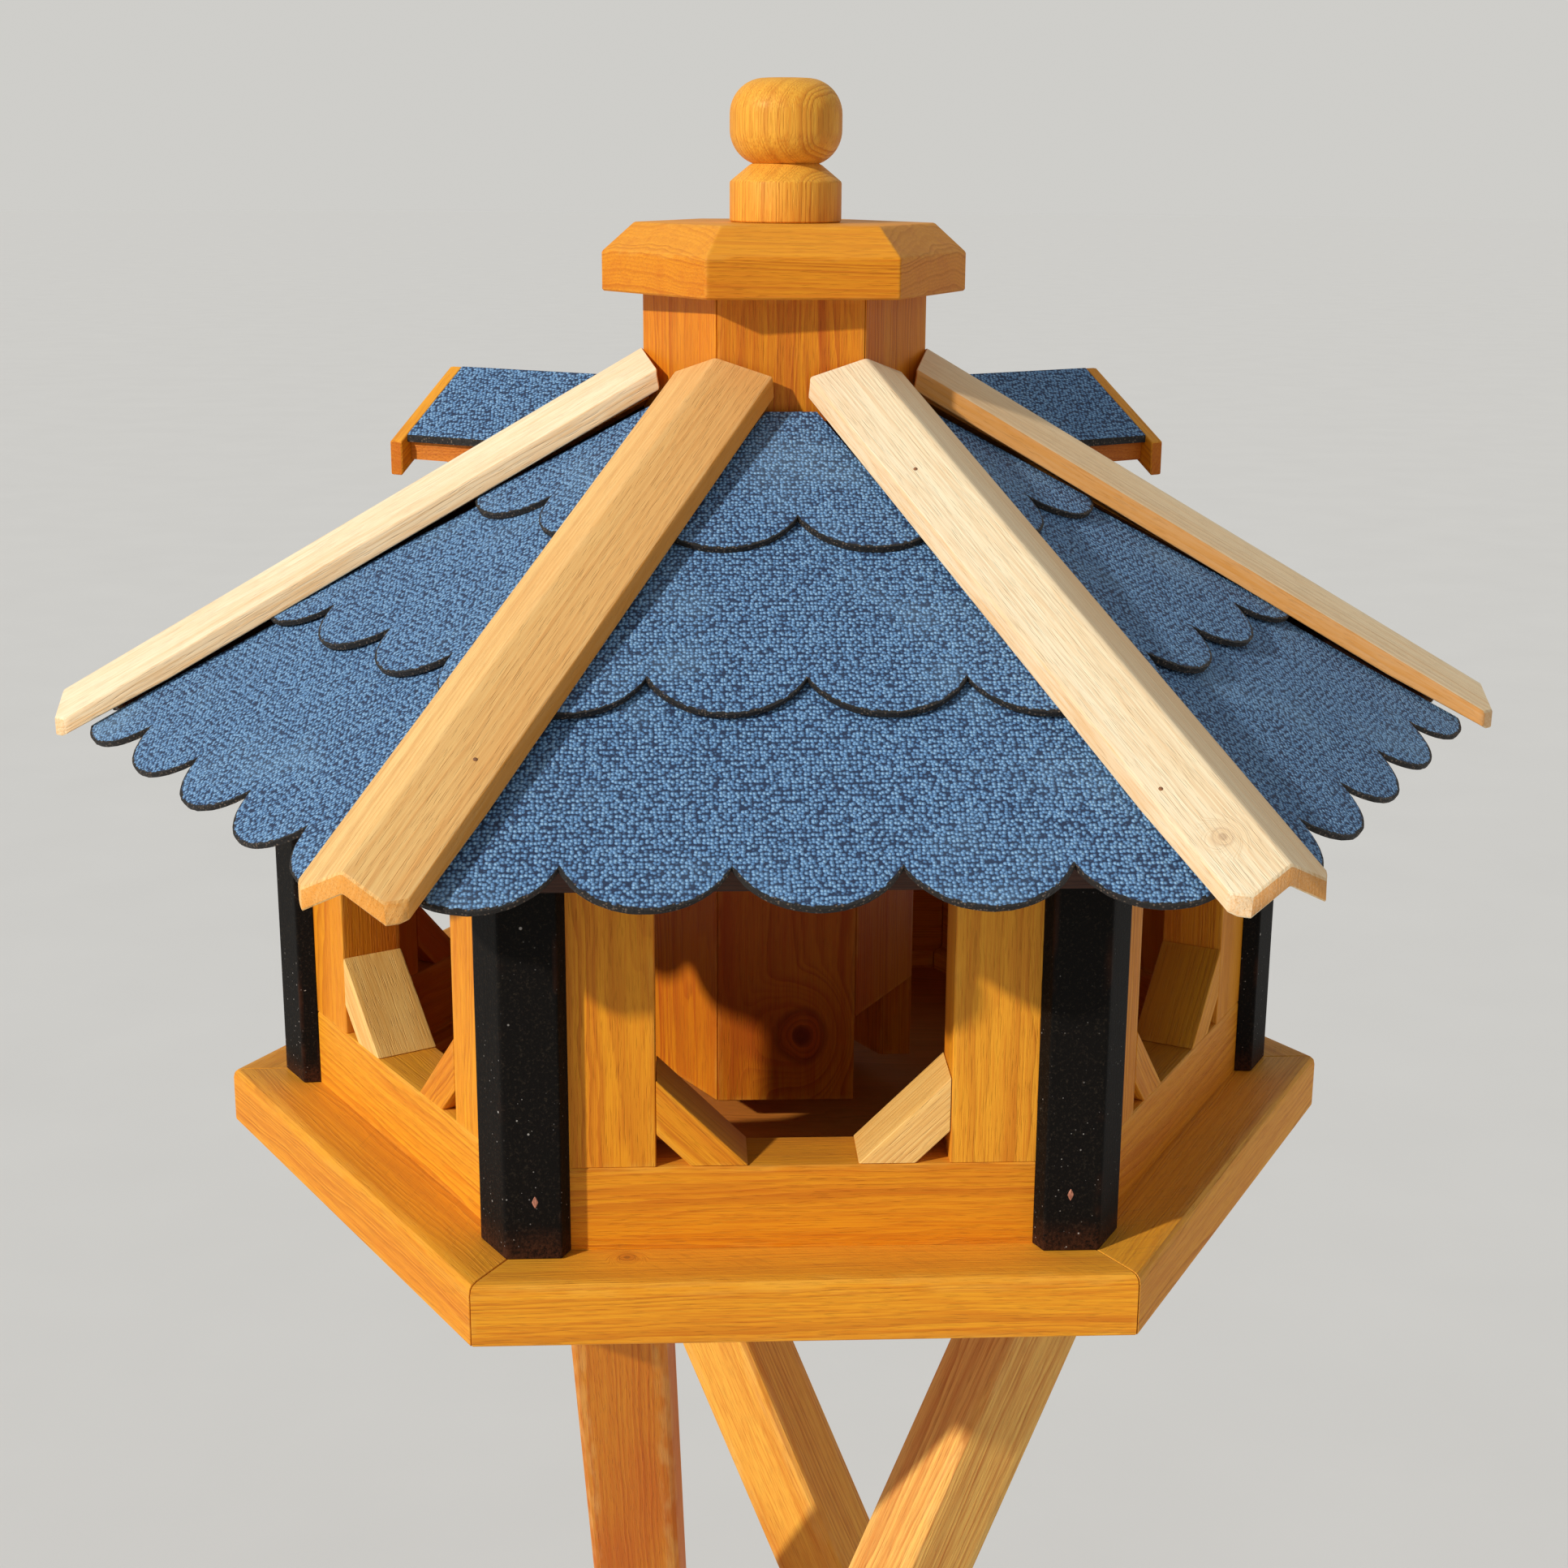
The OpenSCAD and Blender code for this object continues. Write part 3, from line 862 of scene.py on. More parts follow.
def rounded(corners: Array, radii: Any, steps: int = 4, shoulder: float = 2.5) -> tuple[Array, Array]:
    """Rounds the corners of a section.

    Each corner becomes a quadratic curve between two tangent points at the radius's distance, with
    one more point beyond each so that the flats stay flat.

    Args:
        corners: Corners of the section, turning left.
        radii: One rounding, or one for each corner.
        steps: Points along each rounded corner.
        shoulder: Distance of the extra points from the tangent points.

    Returns:
        The outline's points, and one at rounded corners and zero at the flats.
    """
    corners = np.asarray(corners, float)
    back = np.roll(corners, 1, axis=0) - corners
    ahead = np.roll(corners, -1, axis=0) - corners
    len_back = np.linalg.norm(back, axis=1, keepdims=True)
    len_ahead = np.linalg.norm(ahead, axis=1, keepdims=True)
    wish = np.broadcast_to(np.asarray(radii, float), (len(corners),))[:, None]
    room = np.minimum(len_back, len_ahead)
    cut = np.minimum(wish, 0.3 * room)
    ease = np.minimum(shoulder, 0.15 * room)
    t0 = corners + back / len_back * cut
    t1 = corners + ahead / len_ahead * cut
    q = np.linspace(0, 1, steps)[None, :, None]
    curve = (1 - q) ** 2 * t0[:, None] + 2 * q * (1 - q) * corners[:, None] + q**2 * t1[:, None]
    first = corners + back / len_back * (cut + ease)
    last = corners + ahead / len_ahead * (cut + ease)
    outline = np.concatenate([first[:, None], curve, last[:, None]], axis=1).reshape(-1, 2)
    mark = np.concatenate([[0.0], np.ones(steps), [0.0]])
    return outline, np.tile(mark, len(corners))


def inset(outline: Array, depth: float) -> Array:
    """An outline moved inwards: each point goes to the left of the line through its neighbours."""
    along = np.roll(outline, -1, axis=0) - np.roll(outline, 1, axis=0)
    along /= np.maximum(np.linalg.norm(along, axis=1, keepdims=True), 1e-9)
    return outline + depth * np.stack([-along[:, 1], along[:, 0]], axis=1)


def crossed(outline: Array, mark: Array, widths: Sequence[float]) -> tuple[Array, Array]:
    """Adds a point wherever an outline crosses one of the given widths.

    Args:
        outline: Points of the outline.
        mark: Its rounding marks.
        widths: Places across the outline.

    Returns:
        The longer outline and marks.
    """
    for width in widths:
        ahead = np.roll(outline, -1, axis=0)
        near, far = outline[:, 0] - width, ahead[:, 0] - width
        hit = np.flatnonzero(near * far < 0)
        part = (near / np.where(near == far, 1, near - far))[hit, None]
        fresh = outline[hit] + (ahead[hit] - outline[hit]) * part
        outline = np.insert(outline, hit + 1, fresh, axis=0)
        mark = np.insert(mark, hit + 1, 0.0)
    return outline, mark


@dataclass(frozen=True)
class Place:
    """A local frame: its origin, and its length, width and height axes as rows."""

    origin: Sequence[float]
    axes: Sequence[Sequence[float]]

    def put(self, local: Array) -> Array:
        """Points of the local frame in the house's frame."""
        return np.asarray(self.origin, float) + local @ np.asarray(self.axes, float)


def upright(z: float) -> Place:
    """A local frame whose length runs up, with width along X and height along Y."""
    return Place((0, 0, z), ((0, 0, 1), (1, 0, 0), (0, 1, 0)))


def level(value: float) -> Cut:
    """A square cut at one length."""
    return lambda section: np.full(len(section), float(value))


@dataclass(frozen=True)
class Stock:
    """Draws each board's own look: where its pith lies, where along the log it was cut, its tone."""

    rng: np.random.Generator

    def pith(self, near: float = 60.0, far: float = 170.0) -> Array:
        """Offset of the pith from the board, in a random direction."""
        angle = self.rng.uniform(0, 2 * math.pi)
        return self.rng.uniform(near, far) * np.array([math.cos(angle), math.sin(angle)])

    def shift(self) -> float:
        """Distance along the log."""
        return float(self.rng.uniform(0, 4000))

    def tone(self, spread: float = 0.22) -> float:
        """Lighter or darker than the rest."""
        return float(self.rng.uniform(-spread, spread))


@dataclass
class Board:
    """One straight piece of timber: a rounded section carried along a line between two cut ends."""

    section: Any
    start: Cut
    end: Cut
    place: Place
    stock: Stock
    radii: Any = 1.0
    chamfer: float = 0.5
    spans: int = 3
    tone: float | None = None
    shift: float | None = None
    pith: Any = None
    knot: Knot | None = None
    finish: int = 0
    flank: float = 0.0
    flank_band: float = 0.4
    clip: float | None = None
    end_shares: tuple[float, ...] = (1.0, 0.45, 0.45)
    ease: float = 2.5

    def shares(self, outline: Array) -> list[Array]:
        """Point numbers of each flat part of an end: one part, or three where corners are clipped."""
        if self.clip is None:
            return [np.arange(len(outline))]
        u, slack = outline[:, 0], 1e-6
        parts = (np.abs(u) <= self.clip + slack, u >= self.clip - slack, u <= slack - self.clip)
        return [np.flatnonzero(part) for part in parts]

    def surface(self) -> Surface:
        """Builds the board.

        Rings of the section stand along the length; the first and last are drawn in by the
        chamfer, so that the ends have a soft arris. A point's grain value is its place in the
        board, measured from the pith. The cut ends take the end colour, and clipped corners and
        the two side faces a share of it.

        Returns:
            The closed surface.
        """
        outline, mark = rounded(self.section, self.radii)
        if self.clip is not None:
            outline, mark = crossed(outline, mark, (self.clip, -self.clip))
        shares = self.shares(outline)
        small = inset(outline, self.chamfer)
        a, b = self.start(outline), self.end(outline)
        near, far = a + self.chamfer + self.ease, b - self.chamfer - self.ease
        middle = [near + (far - near) * t for t in np.linspace(0, 1, self.spans + 1)]
        lengths = [self.start(small), a + self.chamfer, *middle, b - self.chamfer, self.end(small)]
        outlines = [small, *[outline] * (len(lengths) - 2), small]
        local = np.stack([np.column_stack([x, o]) for x, o in zip(lengths, outlines)])
        arris = np.stack([mark] * len(lengths))
        arris[[0, -1]] = 0.4
        arris[[1, -2]] = 1.0
        rows, columns = local.shape[:2]
        flat = local.reshape(-1, 3)
        pith = self.stock.pith() if self.pith is None else np.asarray(self.pith, float)
        shift = self.stock.shift() if self.shift is None else self.shift
        tone = self.stock.tone() if self.tone is None else self.tone
        knot = None
        if self.knot is not None:
            x, y, z, size = self.knot
            knot = (flat - np.array([x, y, z])) / size
        last = (rows - 1) * columns
        caps = [part[::-1].tolist() for part in shares] + [(part + last).tolist() for part in shares]
        quads = ring_quads(rows, columns)
        across = np.abs(flat[quads, 1].mean(axis=1))
        sides = np.where(across > across.max() - self.flank_band, self.flank, 0.0)
        return Surface(
            self.place.put(flat),
            quads,
            caps,
            flat + np.array([shift, pith[0], pith[1]]),
            arris.ravel(),
            tone,
            knot,
            self.finish,
            np.concatenate([sides, np.tile(self.end_shares[: len(shares)], 2)]),
        )


@dataclass
class Bench:
    """Keeps the frame, the finished materials and the random draws, and makes the objects."""

    frame: dict[str, Any]
    stock: Stock
    materials: dict[str, bpy.types.Material] = field(default_factory=dict)

    def board(self, section: Any, start: Cut, end: Cut, place: Place, **more: Any) -> Surface:
        """Surface of one board, its look drawn from the stock."""
        return Board(section, start, end, place, self.stock, **more).surface()

    def finish(self, dress: Finish) -> bpy.types.Material:
        """The material of a finish, built once."""
        if dress.name not in self.materials:
            self.materials[dress.name] = dress.build()
        return self.materials[dress.name]

    def make(
        self,
        name: str,
        surfaces: Sequence[Surface],
        finishes: Sequence[Finish],
        nodes: Sequence[str] = (),
    ) -> bpy.types.Object:
        """Makes one piece that rides on the body.

        Args:
            name: Name of the piece.
            surfaces: Its surfaces.
            finishes: Its finishes, by the surfaces' finish numbers.
            nodes: Frame nodes that it stands for.

        Returns:
            The object.
        """
        points, faces, values, numbers = joined(surfaces)
        piece = self.mesh_object(name, points, faces)
        mesh = piece.data
        for key, value in values.items():
            kind, part = ("FLOAT_VECTOR", "vector") if value.ndim == 2 else ("FLOAT", "value")
            made = mesh.attributes.new(key, kind, "FACE" if key == "end" else "POINT")
            made.data.foreach_set(part, value.astype(np.float32).ravel())
        for dress in finishes:
            mesh.materials.append(self.finish(dress))
        mesh.polygons.foreach_set("material_index", numbers.astype(np.int32))
        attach(piece, BODY)
        if nodes:
            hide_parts(*nodes)
        LOG.info("%s: %d faces, stands for %s", name, len(faces), ", ".join(nodes) or "nothing")
        return piece

    def mesh_object(self, name: str, points: Array, faces: list[list[int]]) -> bpy.types.Object:
        """A mesh object in metres with smooth faces and sharp arrises."""
        mesh = bpy.data.meshes.new(name)
        mesh.from_pydata((points * MM).tolist(), [], faces)
        mesh.shade_smooth()
        mesh.set_sharp_from_angle(angle=SHARP_ANGLE)
        piece = bpy.data.objects.new(name, mesh)
        bpy.context.scene.collection.objects.link(piece)
        return piece

    def dress_node(self, node: str, dress: Finish) -> None:
        """Gives a frame node that stays a better material."""
        mesh = self.frame["nodes"][node].data
        mesh.materials.clear()
        mesh.materials.append(self.finish(dress))
        LOG.info("%s keeps its solid, dressed in %s", node, dress.name)


@dataclass(frozen=True)
class House:
    """Sizes that several sub-assemblies share, as the part's source has them."""

    stand_h: float = 850.0
    ledge_r: float = 280.0
    ledge_t: float = 28.0
    ledge_w: float = 72.0
    floor_t: float = 18.0
    frame_a: float = 211.0
    frame_d: float = 30.0
    sill_h: float = 38.0
    bay_w: float = 125.0
    head_z: float = 196.0
    rail_h: float = 28.5
    roof_pitch: float = math.radians(32.5)
    panel_t: float = 12.0
    silo_r: float = 67.5
    neck_h: float = 54.5
    joint_gap: float = 0.4
    seat: float = 0.2

    @property
    def ledge_z(self) -> float:
        """Height of the ledge's top."""
        return self.stand_h + self.ledge_t

    @property
    def ledge_a(self) -> float:
        """Distance from the axis to the ledge's outer face."""
        return self.ledge_r * math.cos(HALF)

    @property
    def silo_a(self) -> float:
        """Distance from the axis to the silo's outer face."""
        return self.silo_r * math.cos(HALF)

    @property
    def roof_z(self) -> float:
        """Height of the panels' top at the neck."""
        panel_fall = self.panel_t / math.cos(self.roof_pitch)
        run = (self.frame_a - self.silo_a) * math.tan(self.roof_pitch)
        return self.ledge_z + self.head_z + self.rail_h + panel_fall + run

    @property
    def silo_top(self) -> float:
        """Height of the silo's top."""
        return self.roof_z + self.neck_h

    @property
    def hip_pitch(self) -> float:
        """Fall of the hip line."""
        return math.atan(math.tan(self.roof_pitch) * math.cos(HALF))

    def mitre(self, a: Any) -> Any:
        """Half length of a mitred board where its face lies at distance a from the axis."""
        return a * math.tan(HALF) - self.joint_gap / (2 * math.cos(HALF))


@dataclass
class Stand:
    """Three square legs that pass each other as a twisted tripod."""

    house: House
    width: float = 45.0
    bevel: float = 6.0
    waist_r: float = 72.0
    waist_drop: float = 318.0
    lean: float = math.radians(27.5)
    turn: float = math.radians(177)
    # per-leg tones, partly painted light and shade: the back leg darker, the other two paler, on top of their
    # own tones
    tones: dict[Leg, float] = field(
        default_factory=lambda: {Leg.BACK: 0.62, Leg.LEFT: -0.75, Leg.RIGHT: -0.3}
    )

    def build(self, bench: Bench) -> None:
        """Makes the legs: a square section carried along a leaning line, cut level at both ends."""
        h = self.width / 2
        square = [[-h, -h], [h, -h], [h, h], [-h, h]]
        c, s = math.cos(self.lean), math.sin(self.lean)
        waist_z = self.house.stand_h - self.waist_drop
        top = self.house.stand_h - self.house.seat
        place = Place((self.waist_r, 0, waist_z), ((0, s, c), (1, 0, 0), (0, c, -s)))
        for leg in Leg:
            beam = bench.board(
                square,
                lambda o: (-waist_z + o[:, 1] * s) / c,
                lambda o: (top - waist_z + o[:, 1] * s) / c,
                place,
                radii=self.bevel,
                chamfer=1.0,
                spans=8,
                tone=self.tones[leg],
            )
            node = "leg_" + leg.label
            bench.make(node + "_beam", [beam.turned(self.turn + leg.turn)], [LEG_WOOD], [node])


@dataclass
class Tray:
    """Ledge boards, sills, jambs and braces round the six bays."""

    house: House
    ledge_round: tuple[float, ...] = (1.5, 0.5, 0.5, 4.5)
    sill_round: tuple[float, ...] = (0.5, 0.5, 1.2, 1.4)
    brace_reach: float = 39.0
    brace_t: float = 17.4
    # painted shade: how much redder and darker each kind of board grows towards the inside of the bays
    sill_red: float = 0.5
    jamb_inner_shade: float = 0.75
    brace_inner_shade: float = 1.1
    spot: Knot = (-75.1, 24.5, 28.0, 3.2)
    # braces in raw pine, paler as painted light: the ones whose faces caught the sun
    raw_lit_braces: tuple[tuple[Face, int], ...] = (
        (Face.FRONT, 1),
        (Face.FRONT_LEFT, 0),
        (Face.BACK_RIGHT, 1),
    )

    def painted_inner_shade(self, board: Surface, force: float) -> Surface:
        """Deepens the tone from the outer face inwards: painted shade inside the bays, together with stain
        that the sun has bleached less there.
        """
        inward = np.clip((self.house.frame_a + board.points[:, 1]) / self.house.frame_d, 0, 1)
        board.tone = board.tone + force * inward
        return board

    def mitred(self, bench: Bench, a: float, section: Any, z: float, radii: Any, **more: Any) -> Surface:
        """A level board between two mitres on the front side.

        Args:
            bench: The bench.
            a: Distance from the axis to the board's outer face.
            section: Section in depth and height.
            z: Height of the board's underside.
            radii: Rounding of the section's corners.
            **more: Further fields of the board.

        Returns:
            The board's surface.
        """

        def half(o: Array) -> Array:
            """Length at which the board meets its mitre."""
            return self.house.mitre(a - o[:, 0])

        place = Place((0, -a, z), np.eye(3))
        sizes = {"radii": radii, "chamfer": 0.35, "spans": 4}
        return bench.board(section, lambda o: -half(o), half, place, **sizes, **more)

    def build(self, bench: Bench) -> None:
        """Makes every board of the tray and the bays."""
        hs = self.house
        ledge = [[0, 0], [hs.ledge_w, 0], [hs.ledge_w, hs.ledge_t], [0, hs.ledge_t]]
        sill = [[0, 0], [hs.frame_d, 0], [hs.frame_d, hs.sill_h], [0, hs.sill_h]]
        for face in Face:
            front = face is Face.FRONT
            knot = self.spot if front else None
            board = self.mitred(bench, hs.ledge_a, ledge, hs.stand_h, self.ledge_round, knot=knot)
            name = "ledge_" + face.label
            wood = LEDGE_FRONT if front else HONEY_SAWN
            bench.make(name + "_board", [board.turned(face.turn)], [wood], [name])
            board = self.mitred(bench, hs.frame_a, sill, hs.ledge_z, self.sill_round)
            # painted shade, deeper towards the inside of the bay
            board = self.painted_inner_shade(board, self.sill_red).turned(face.turn)
            name = "sill_" + face.label
            bench.make(name + "_board", [board], [HONEY], [name])
        bench.make("jamb_boards", self.jambs(bench), [HONEY], ["jambs"])
        bench.make("brace_bars", self.braces(bench), [HONEY, RAW_LIT_WOOD], ["braces"])

    def jambs(self, bench: Bench) -> list[Surface]:
        """Two upright boards in each bay, their outer ends mitred in plan."""
        hs = self.house
        out, back, bay = hs.frame_a, hs.frame_a - hs.frame_d, hs.bay_w / 2
        right = np.array([[bay, -out], [hs.mitre(out), -out], [hs.mitre(back), -back], [bay, -back]])
        left = (right * np.array([-1, 1]))[::-1]
        made = []
        for face in Face:
            for plan in (left, right):
                ends = level(hs.sill_h), level(hs.head_z)
                board = bench.board(plan, *ends, upright(hs.ledge_z), radii=1.0, chamfer=0.4)
                # painted shade, deeper towards the inside of the bay
                made.append(self.painted_inner_shade(board, self.jamb_inner_shade).turned(face.turn))
        return made

    def braces(self, bench: Bench) -> list[Surface]:
        """Two bars in each bay at 45 degrees, cut to stand on the sill and against the jamb."""
        hs = self.house
        r = math.sqrt(0.5)
        high = self.brace_reach * r
        low = high - self.brace_t
        bar = [[0, low], [hs.frame_d, low], [hs.frame_d, high], [0, high]]
        z = hs.ledge_z + hs.sill_h + hs.seat
        x = hs.bay_w / 2 - hs.seat
        places = (
            Place((-x, -hs.frame_a, z), ((r, 0, -r), (0, 1, 0), (r, 0, r))),
            Place((x, hs.frame_d - hs.frame_a, z), ((-r, 0, -r), (0, -1, 0), (-r, 0, r))),
        )
        made = []
        for face in Face:
            for side, place in enumerate(places):
                raw = (face, side) in self.raw_lit_braces
                sizes = {"radii": 0.9, "chamfer": 0.4, "spans": 1, "finish": int(raw)}
                board = bench.board(bar, lambda o: -o[:, 1], lambda o: o[:, 1], place, **sizes)
                # stained braces take painted shade towards the inside; raw ones take none
                red = 0.0 if raw else self.brace_inner_shade
                made.append(self.painted_inner_shade(board, red).turned(face.turn))
        return made


@dataclass
class Posts:
    """Black corner strips with two outer faces, a bevel beside each, and a flaked nail near the foot."""

    house: House
    face_w: float = 24.0
    thick: float = 8.0
    bevel: float = 3.5
    radii: tuple[float, ...] = (1.2, 0.8, 0.4, 0.4, 0.4, 0.8)
    chip_z: float = 25.0
    chip_stray: float = 2.0
    chip_in: float = 11.0
    chip: tuple[float, float] = (1.3, 2.7)
    chip_h: float = 0.25
    chip_power: float = 1.7

    def build(self, bench: Bench) -> None:
        """Makes the six strips and the flake over a nail on each."""
        hs = self.house
        out = hs.frame_a + self.thick
        back = hs.frame_a + hs.seat
        start = self.face_w - out * math.tan(HALF)
        side = np.array([self.beside(out, start), self.beside(back, start + self.bevel)])
        other = (side * np.array([1, -1]))[::-1]
        plan = np.concatenate(
            [[[out / math.cos(HALF), 0]], side, [[back / math.cos(HALF), 0]], other]
        )
        top = hs.roof_z - (out - hs.silo_a) * math.tan(hs.roof_pitch)
        top -= hs.panel_t / math.cos(hs.roof_pitch) + hs.seat
        chips = []
        for corner in Corner:
            strip = bench.board(
                plan,
                level(hs.seat),
                level(top - hs.ledge_z),
                upright(hs.ledge_z),
                radii=self.radii,
                chamfer=0.5,
                spans=6,
                shift=0.0,
            )
            name = "corner_post_" + corner.label
            bench.make(name + "_strip", [strip.turned(corner.turn)], [BLACK], [name])
            hand = 1 if corner.value % 2 else -1
            spot = self.beside(out, start - self.chip_in) * np.array([1, hand])
            stray = bench.stock.rng.uniform(-self.chip_stray, self.chip_stray)
            place = (spot[0], spot[1], hs.ledge_z + self.chip_z + stray)
            normal = (math.cos(HALF), hand * math.sin(HALF), 0)
            flake = dome(place, normal, self.chip, self.chip_h, around=16, power=self.chip_power)
            chips.append(flake.turned(corner.turn))
        bench.make("post_chips", chips, [CHIP])

    @staticmethod
    def beside(a: float, t: float) -> Array:
        """Point beside a corner at distance a from the axis, t along the bay's face from its middle."""
        c, s = math.cos(HALF), math.sin(HALF)
        return np.array([a * c - t * s, a * s + t * c])


def dome(
    centre: Sequence[float],
    normal: Sequence[float],
    radii: tuple[float, float],
    height: float,
    around: int,
    power: float = 1.0,
) -> Surface:
    """A low dome: radius falls as cos q and height rises as sin q, for q from 0 to a right angle.

    Args:
        centre: Middle of its base.
        normal: Direction of its top.
        radii: Half width and half height of its base.
        height: Height of its top.
        around: Points in each ring.
        power: One for an ellipse, and more for a diamond with hollow sides.

    Returns:
        The closed surface.
    """
    n = np.asarray(normal, float)
    n = n / np.linalg.norm(n)
    first = np.cross((0.0, 0.0, 1.0), n)
    first /= np.linalg.norm(first)
    second = np.cross(n, first)
    q = np.linspace(0, 0.92, 4)[:, None] * math.pi / 2
    angle = np.linspace(0, 2 * math.pi, around, endpoint=False)[None, :]
    c, s = np.cos(angle), np.sin(angle)
    x = np.cos(q) * np.sign(c) * np.abs(c) ** power * radii[0]
    y = np.cos(q) * np.sign(s) * np.abs(s) ** power * radii[1]
    local, quads, caps = stacked(x, y, np.sin(q) * height)
    return Surface(np.asarray(centre, float) + local @ np.stack([first, second, n]), quads, caps)


@dataclass(frozen=True)
class Tier:
    """One course of shingle felt: where its cusps, head and scallops lie."""

    name: str
    cusp: float
    head: float
    shift: float
    tilted: bool
    lift: float


@dataclass
class Roofing:
    """Three lapped tiers of scalloped felt on each of the six roof faces."""

    house: House
    felt_t: float = 3.0
    pitch: float = 65.0
    deep: float = 20.5
    felt_l: float = 268.5
    step: float = 96.5
    lap: float = 34.0
    head: float = 2.0
    margin: float = 20.0
    columns: int = 97
    rows: int = 11
    wave: float = 0.35
    waves: tuple[float, ...] = (41.0, 29.0, 17.0, 23.0)
    crest: float = 1.2
    rolled: float = 0.25
    widest: float = 200.0
    border: float = 1.9
    ragged: float = 0.3

    def tiers(self) -> list[Tier]:
        """The three courses, lowest first."""
        seat = self.house.seat
        middle = self.felt_l - self.step
        return [
            Tier("lower", self.felt_l, middle - self.lap, 0.0, False, 0.0),
            Tier("middle", middle, self.head, 0.5, True, seat),
            Tier("upper", middle - self.step, self.head, 0.5, True, self.felt_t + 2 * seat),
        ]

    def half_width(self, s: Any) -> Any:
        """Half width of the felt at distance s down the slope."""
        hs = self.house
        run = hs.silo_a + s * math.cos(hs.roof_pitch)
        return run * math.tan(HALF) - self.margin / math.cos(HALF)

    def edge(self, tier: Tier, x: Array) -> Array:
        """Distance down the slope of a course's scalloped edge: arcs that meet in cusps."""
        r = ((self.pitch / 2) ** 2 + self.deep**2) / (2 * self.deep)
        off = (x / self.pitch - tier.shift + 0.5) % 1.0 - 0.5
        return tier.cusp + self.deep - r + np.sqrt(r * r - (off * self.pitch) ** 2)

    def columns_of(self, tier: Tier) -> Array:
        """Places across the edge where the columns end: even steps, with every cusp among them."""
        fine = np.linspace(0, self.widest, 4001)
        inside = fine < self.half_width(self.edge(tier, fine))
        reach = fine[np.argmin(inside)]
        even = np.linspace(-reach, reach, self.columns)
        cusps = (np.arange(-4, 5) + tier.shift + 0.5) * self.pitch
        cusps = cusps[np.abs(cusps) < reach - 1]
        nearest = np.abs(even[:, None] - cusps[None, :]).argmin(axis=0)
        even[nearest] = cusps
        return even

    def course(self, tier: Tier, rng: np.random.Generator) -> Surface:
        """One course on the front face.

        Columns run from the head to the scalloped edge, which is cut a little raggedly and rolled
        down. The top is waved by sin(x/a) sin(s/b) + sin(x/c - s/d)/2, kept under the solid's top,
        and a rim closes it down to the underside.

        Args:
            tier: The course.
            rng: Random draws for the waves and the cut.

        Returns:
            The closed surface.
        """
        hs = self.house
        phase = rng.uniform(0, 6)
        foot = self.columns_of(tier)
        low = self.edge(tier, foot) + rng.uniform(-self.ragged, 0, len(foot))
        crown = foot / foot[-1] * self.half_width(tier.head)
        inner = 1 - self.border / (low - tier.head)
        down = np.concatenate([np.linspace(0, 1, self.rows)[:, None] * inner, np.ones((1, len(foot)))])
        x = crown + (foot - crown) * down
        s = tier.head + (low - tier.head) * down
        a, b, c, d = self.waves
        swell = np.sin(x / a + phase) * np.sin(s / b + 2 * phase) + 0.5 * np.sin(x / c - s / d + phase)
        base = tier.lift + hs.seat
        top = base + self.felt_t + self.wave * (swell - self.crest) * np.sin(math.pi * down / 2)
        top[-1] -= self.rolled
        under = np.full_like(top, base)
        upper = np.stack([x, -s, top], -1).reshape(-1, 3)
        lower = np.stack([x, -s, under], -1).reshape(-1, 3)
        rows, columns = x.shape
        count = rows * columns
        border = np.concatenate(
            [
                np.arange(columns),
                np.arange(1, rows) * columns + columns - 1,
                (rows - 1) * columns + np.arange(columns - 2, -1, -1),
                np.arange(rows - 2, 0, -1) * columns,
            ]
        )
        after = np.roll(border, -1)
        rim = np.stack([border, after, after + count, border + count], -1)
        quads = np.concatenate(
            [sheet_quads(rows, columns)[:, ::-1], sheet_quads(rows, columns, count), rim]
        )
        points = np.concatenate([upper, lower])
        tilt = math.atan(self.felt_t / self.tiers()[0].head) if tier.tilted else 0.0
        points = on_slope(hs, lean(points, -tilt) + np.array([0, -hs.seat, 0]))
        arris = np.ones(2 * count)
        arris[: count - columns] = 0.0
        return Surface(points, quads, arris=arris)

    def build(self, bench: Bench) -> None:
        """Makes one piece for each tier, all six faces in it."""
        for tier in self.tiers():
            faces = [self.course(tier, bench.stock.rng).turned(face.turn) for face in Face]
            node = "shingles_" + tier.name
            bench.make(node + "_felt", faces, [FELT], [node])


def lean(points: Array, angle: float) -> Array:
    """Points turned about the X axis: y' = y cos - z sin, z' = y sin + z cos."""
    c, s = math.cos(angle), math.sin(angle)
    return points @ np.array([[1.0, 0.0, 0.0], [0.0, c, s], [0.0, -s, c]])


def on_slope(house: House, points: Array) -> Array:
    """Points drawn on the front roof face: -Y runs down from the neck and Z stands off the panel."""
    return lean(points, house.roof_pitch) + np.array([0, -house.silo_a, house.roof_z])


@dataclass(frozen=True)
class CapLook:
    """How one hip cap differs from the rest: its tone slants across it, as painted shade on the facet turned
    from the light, and towards the neck.
    """

    tone: float
    flank: float
    # first slant: painted shade across the cap, darker on one facet; second: darker towards the neck
    shade_and_tone_slants: tuple[float, float] = (0.0, 0.0)
    nails: tuple[tuple[float, float], ...] = ()
    wood: Timber = PINE


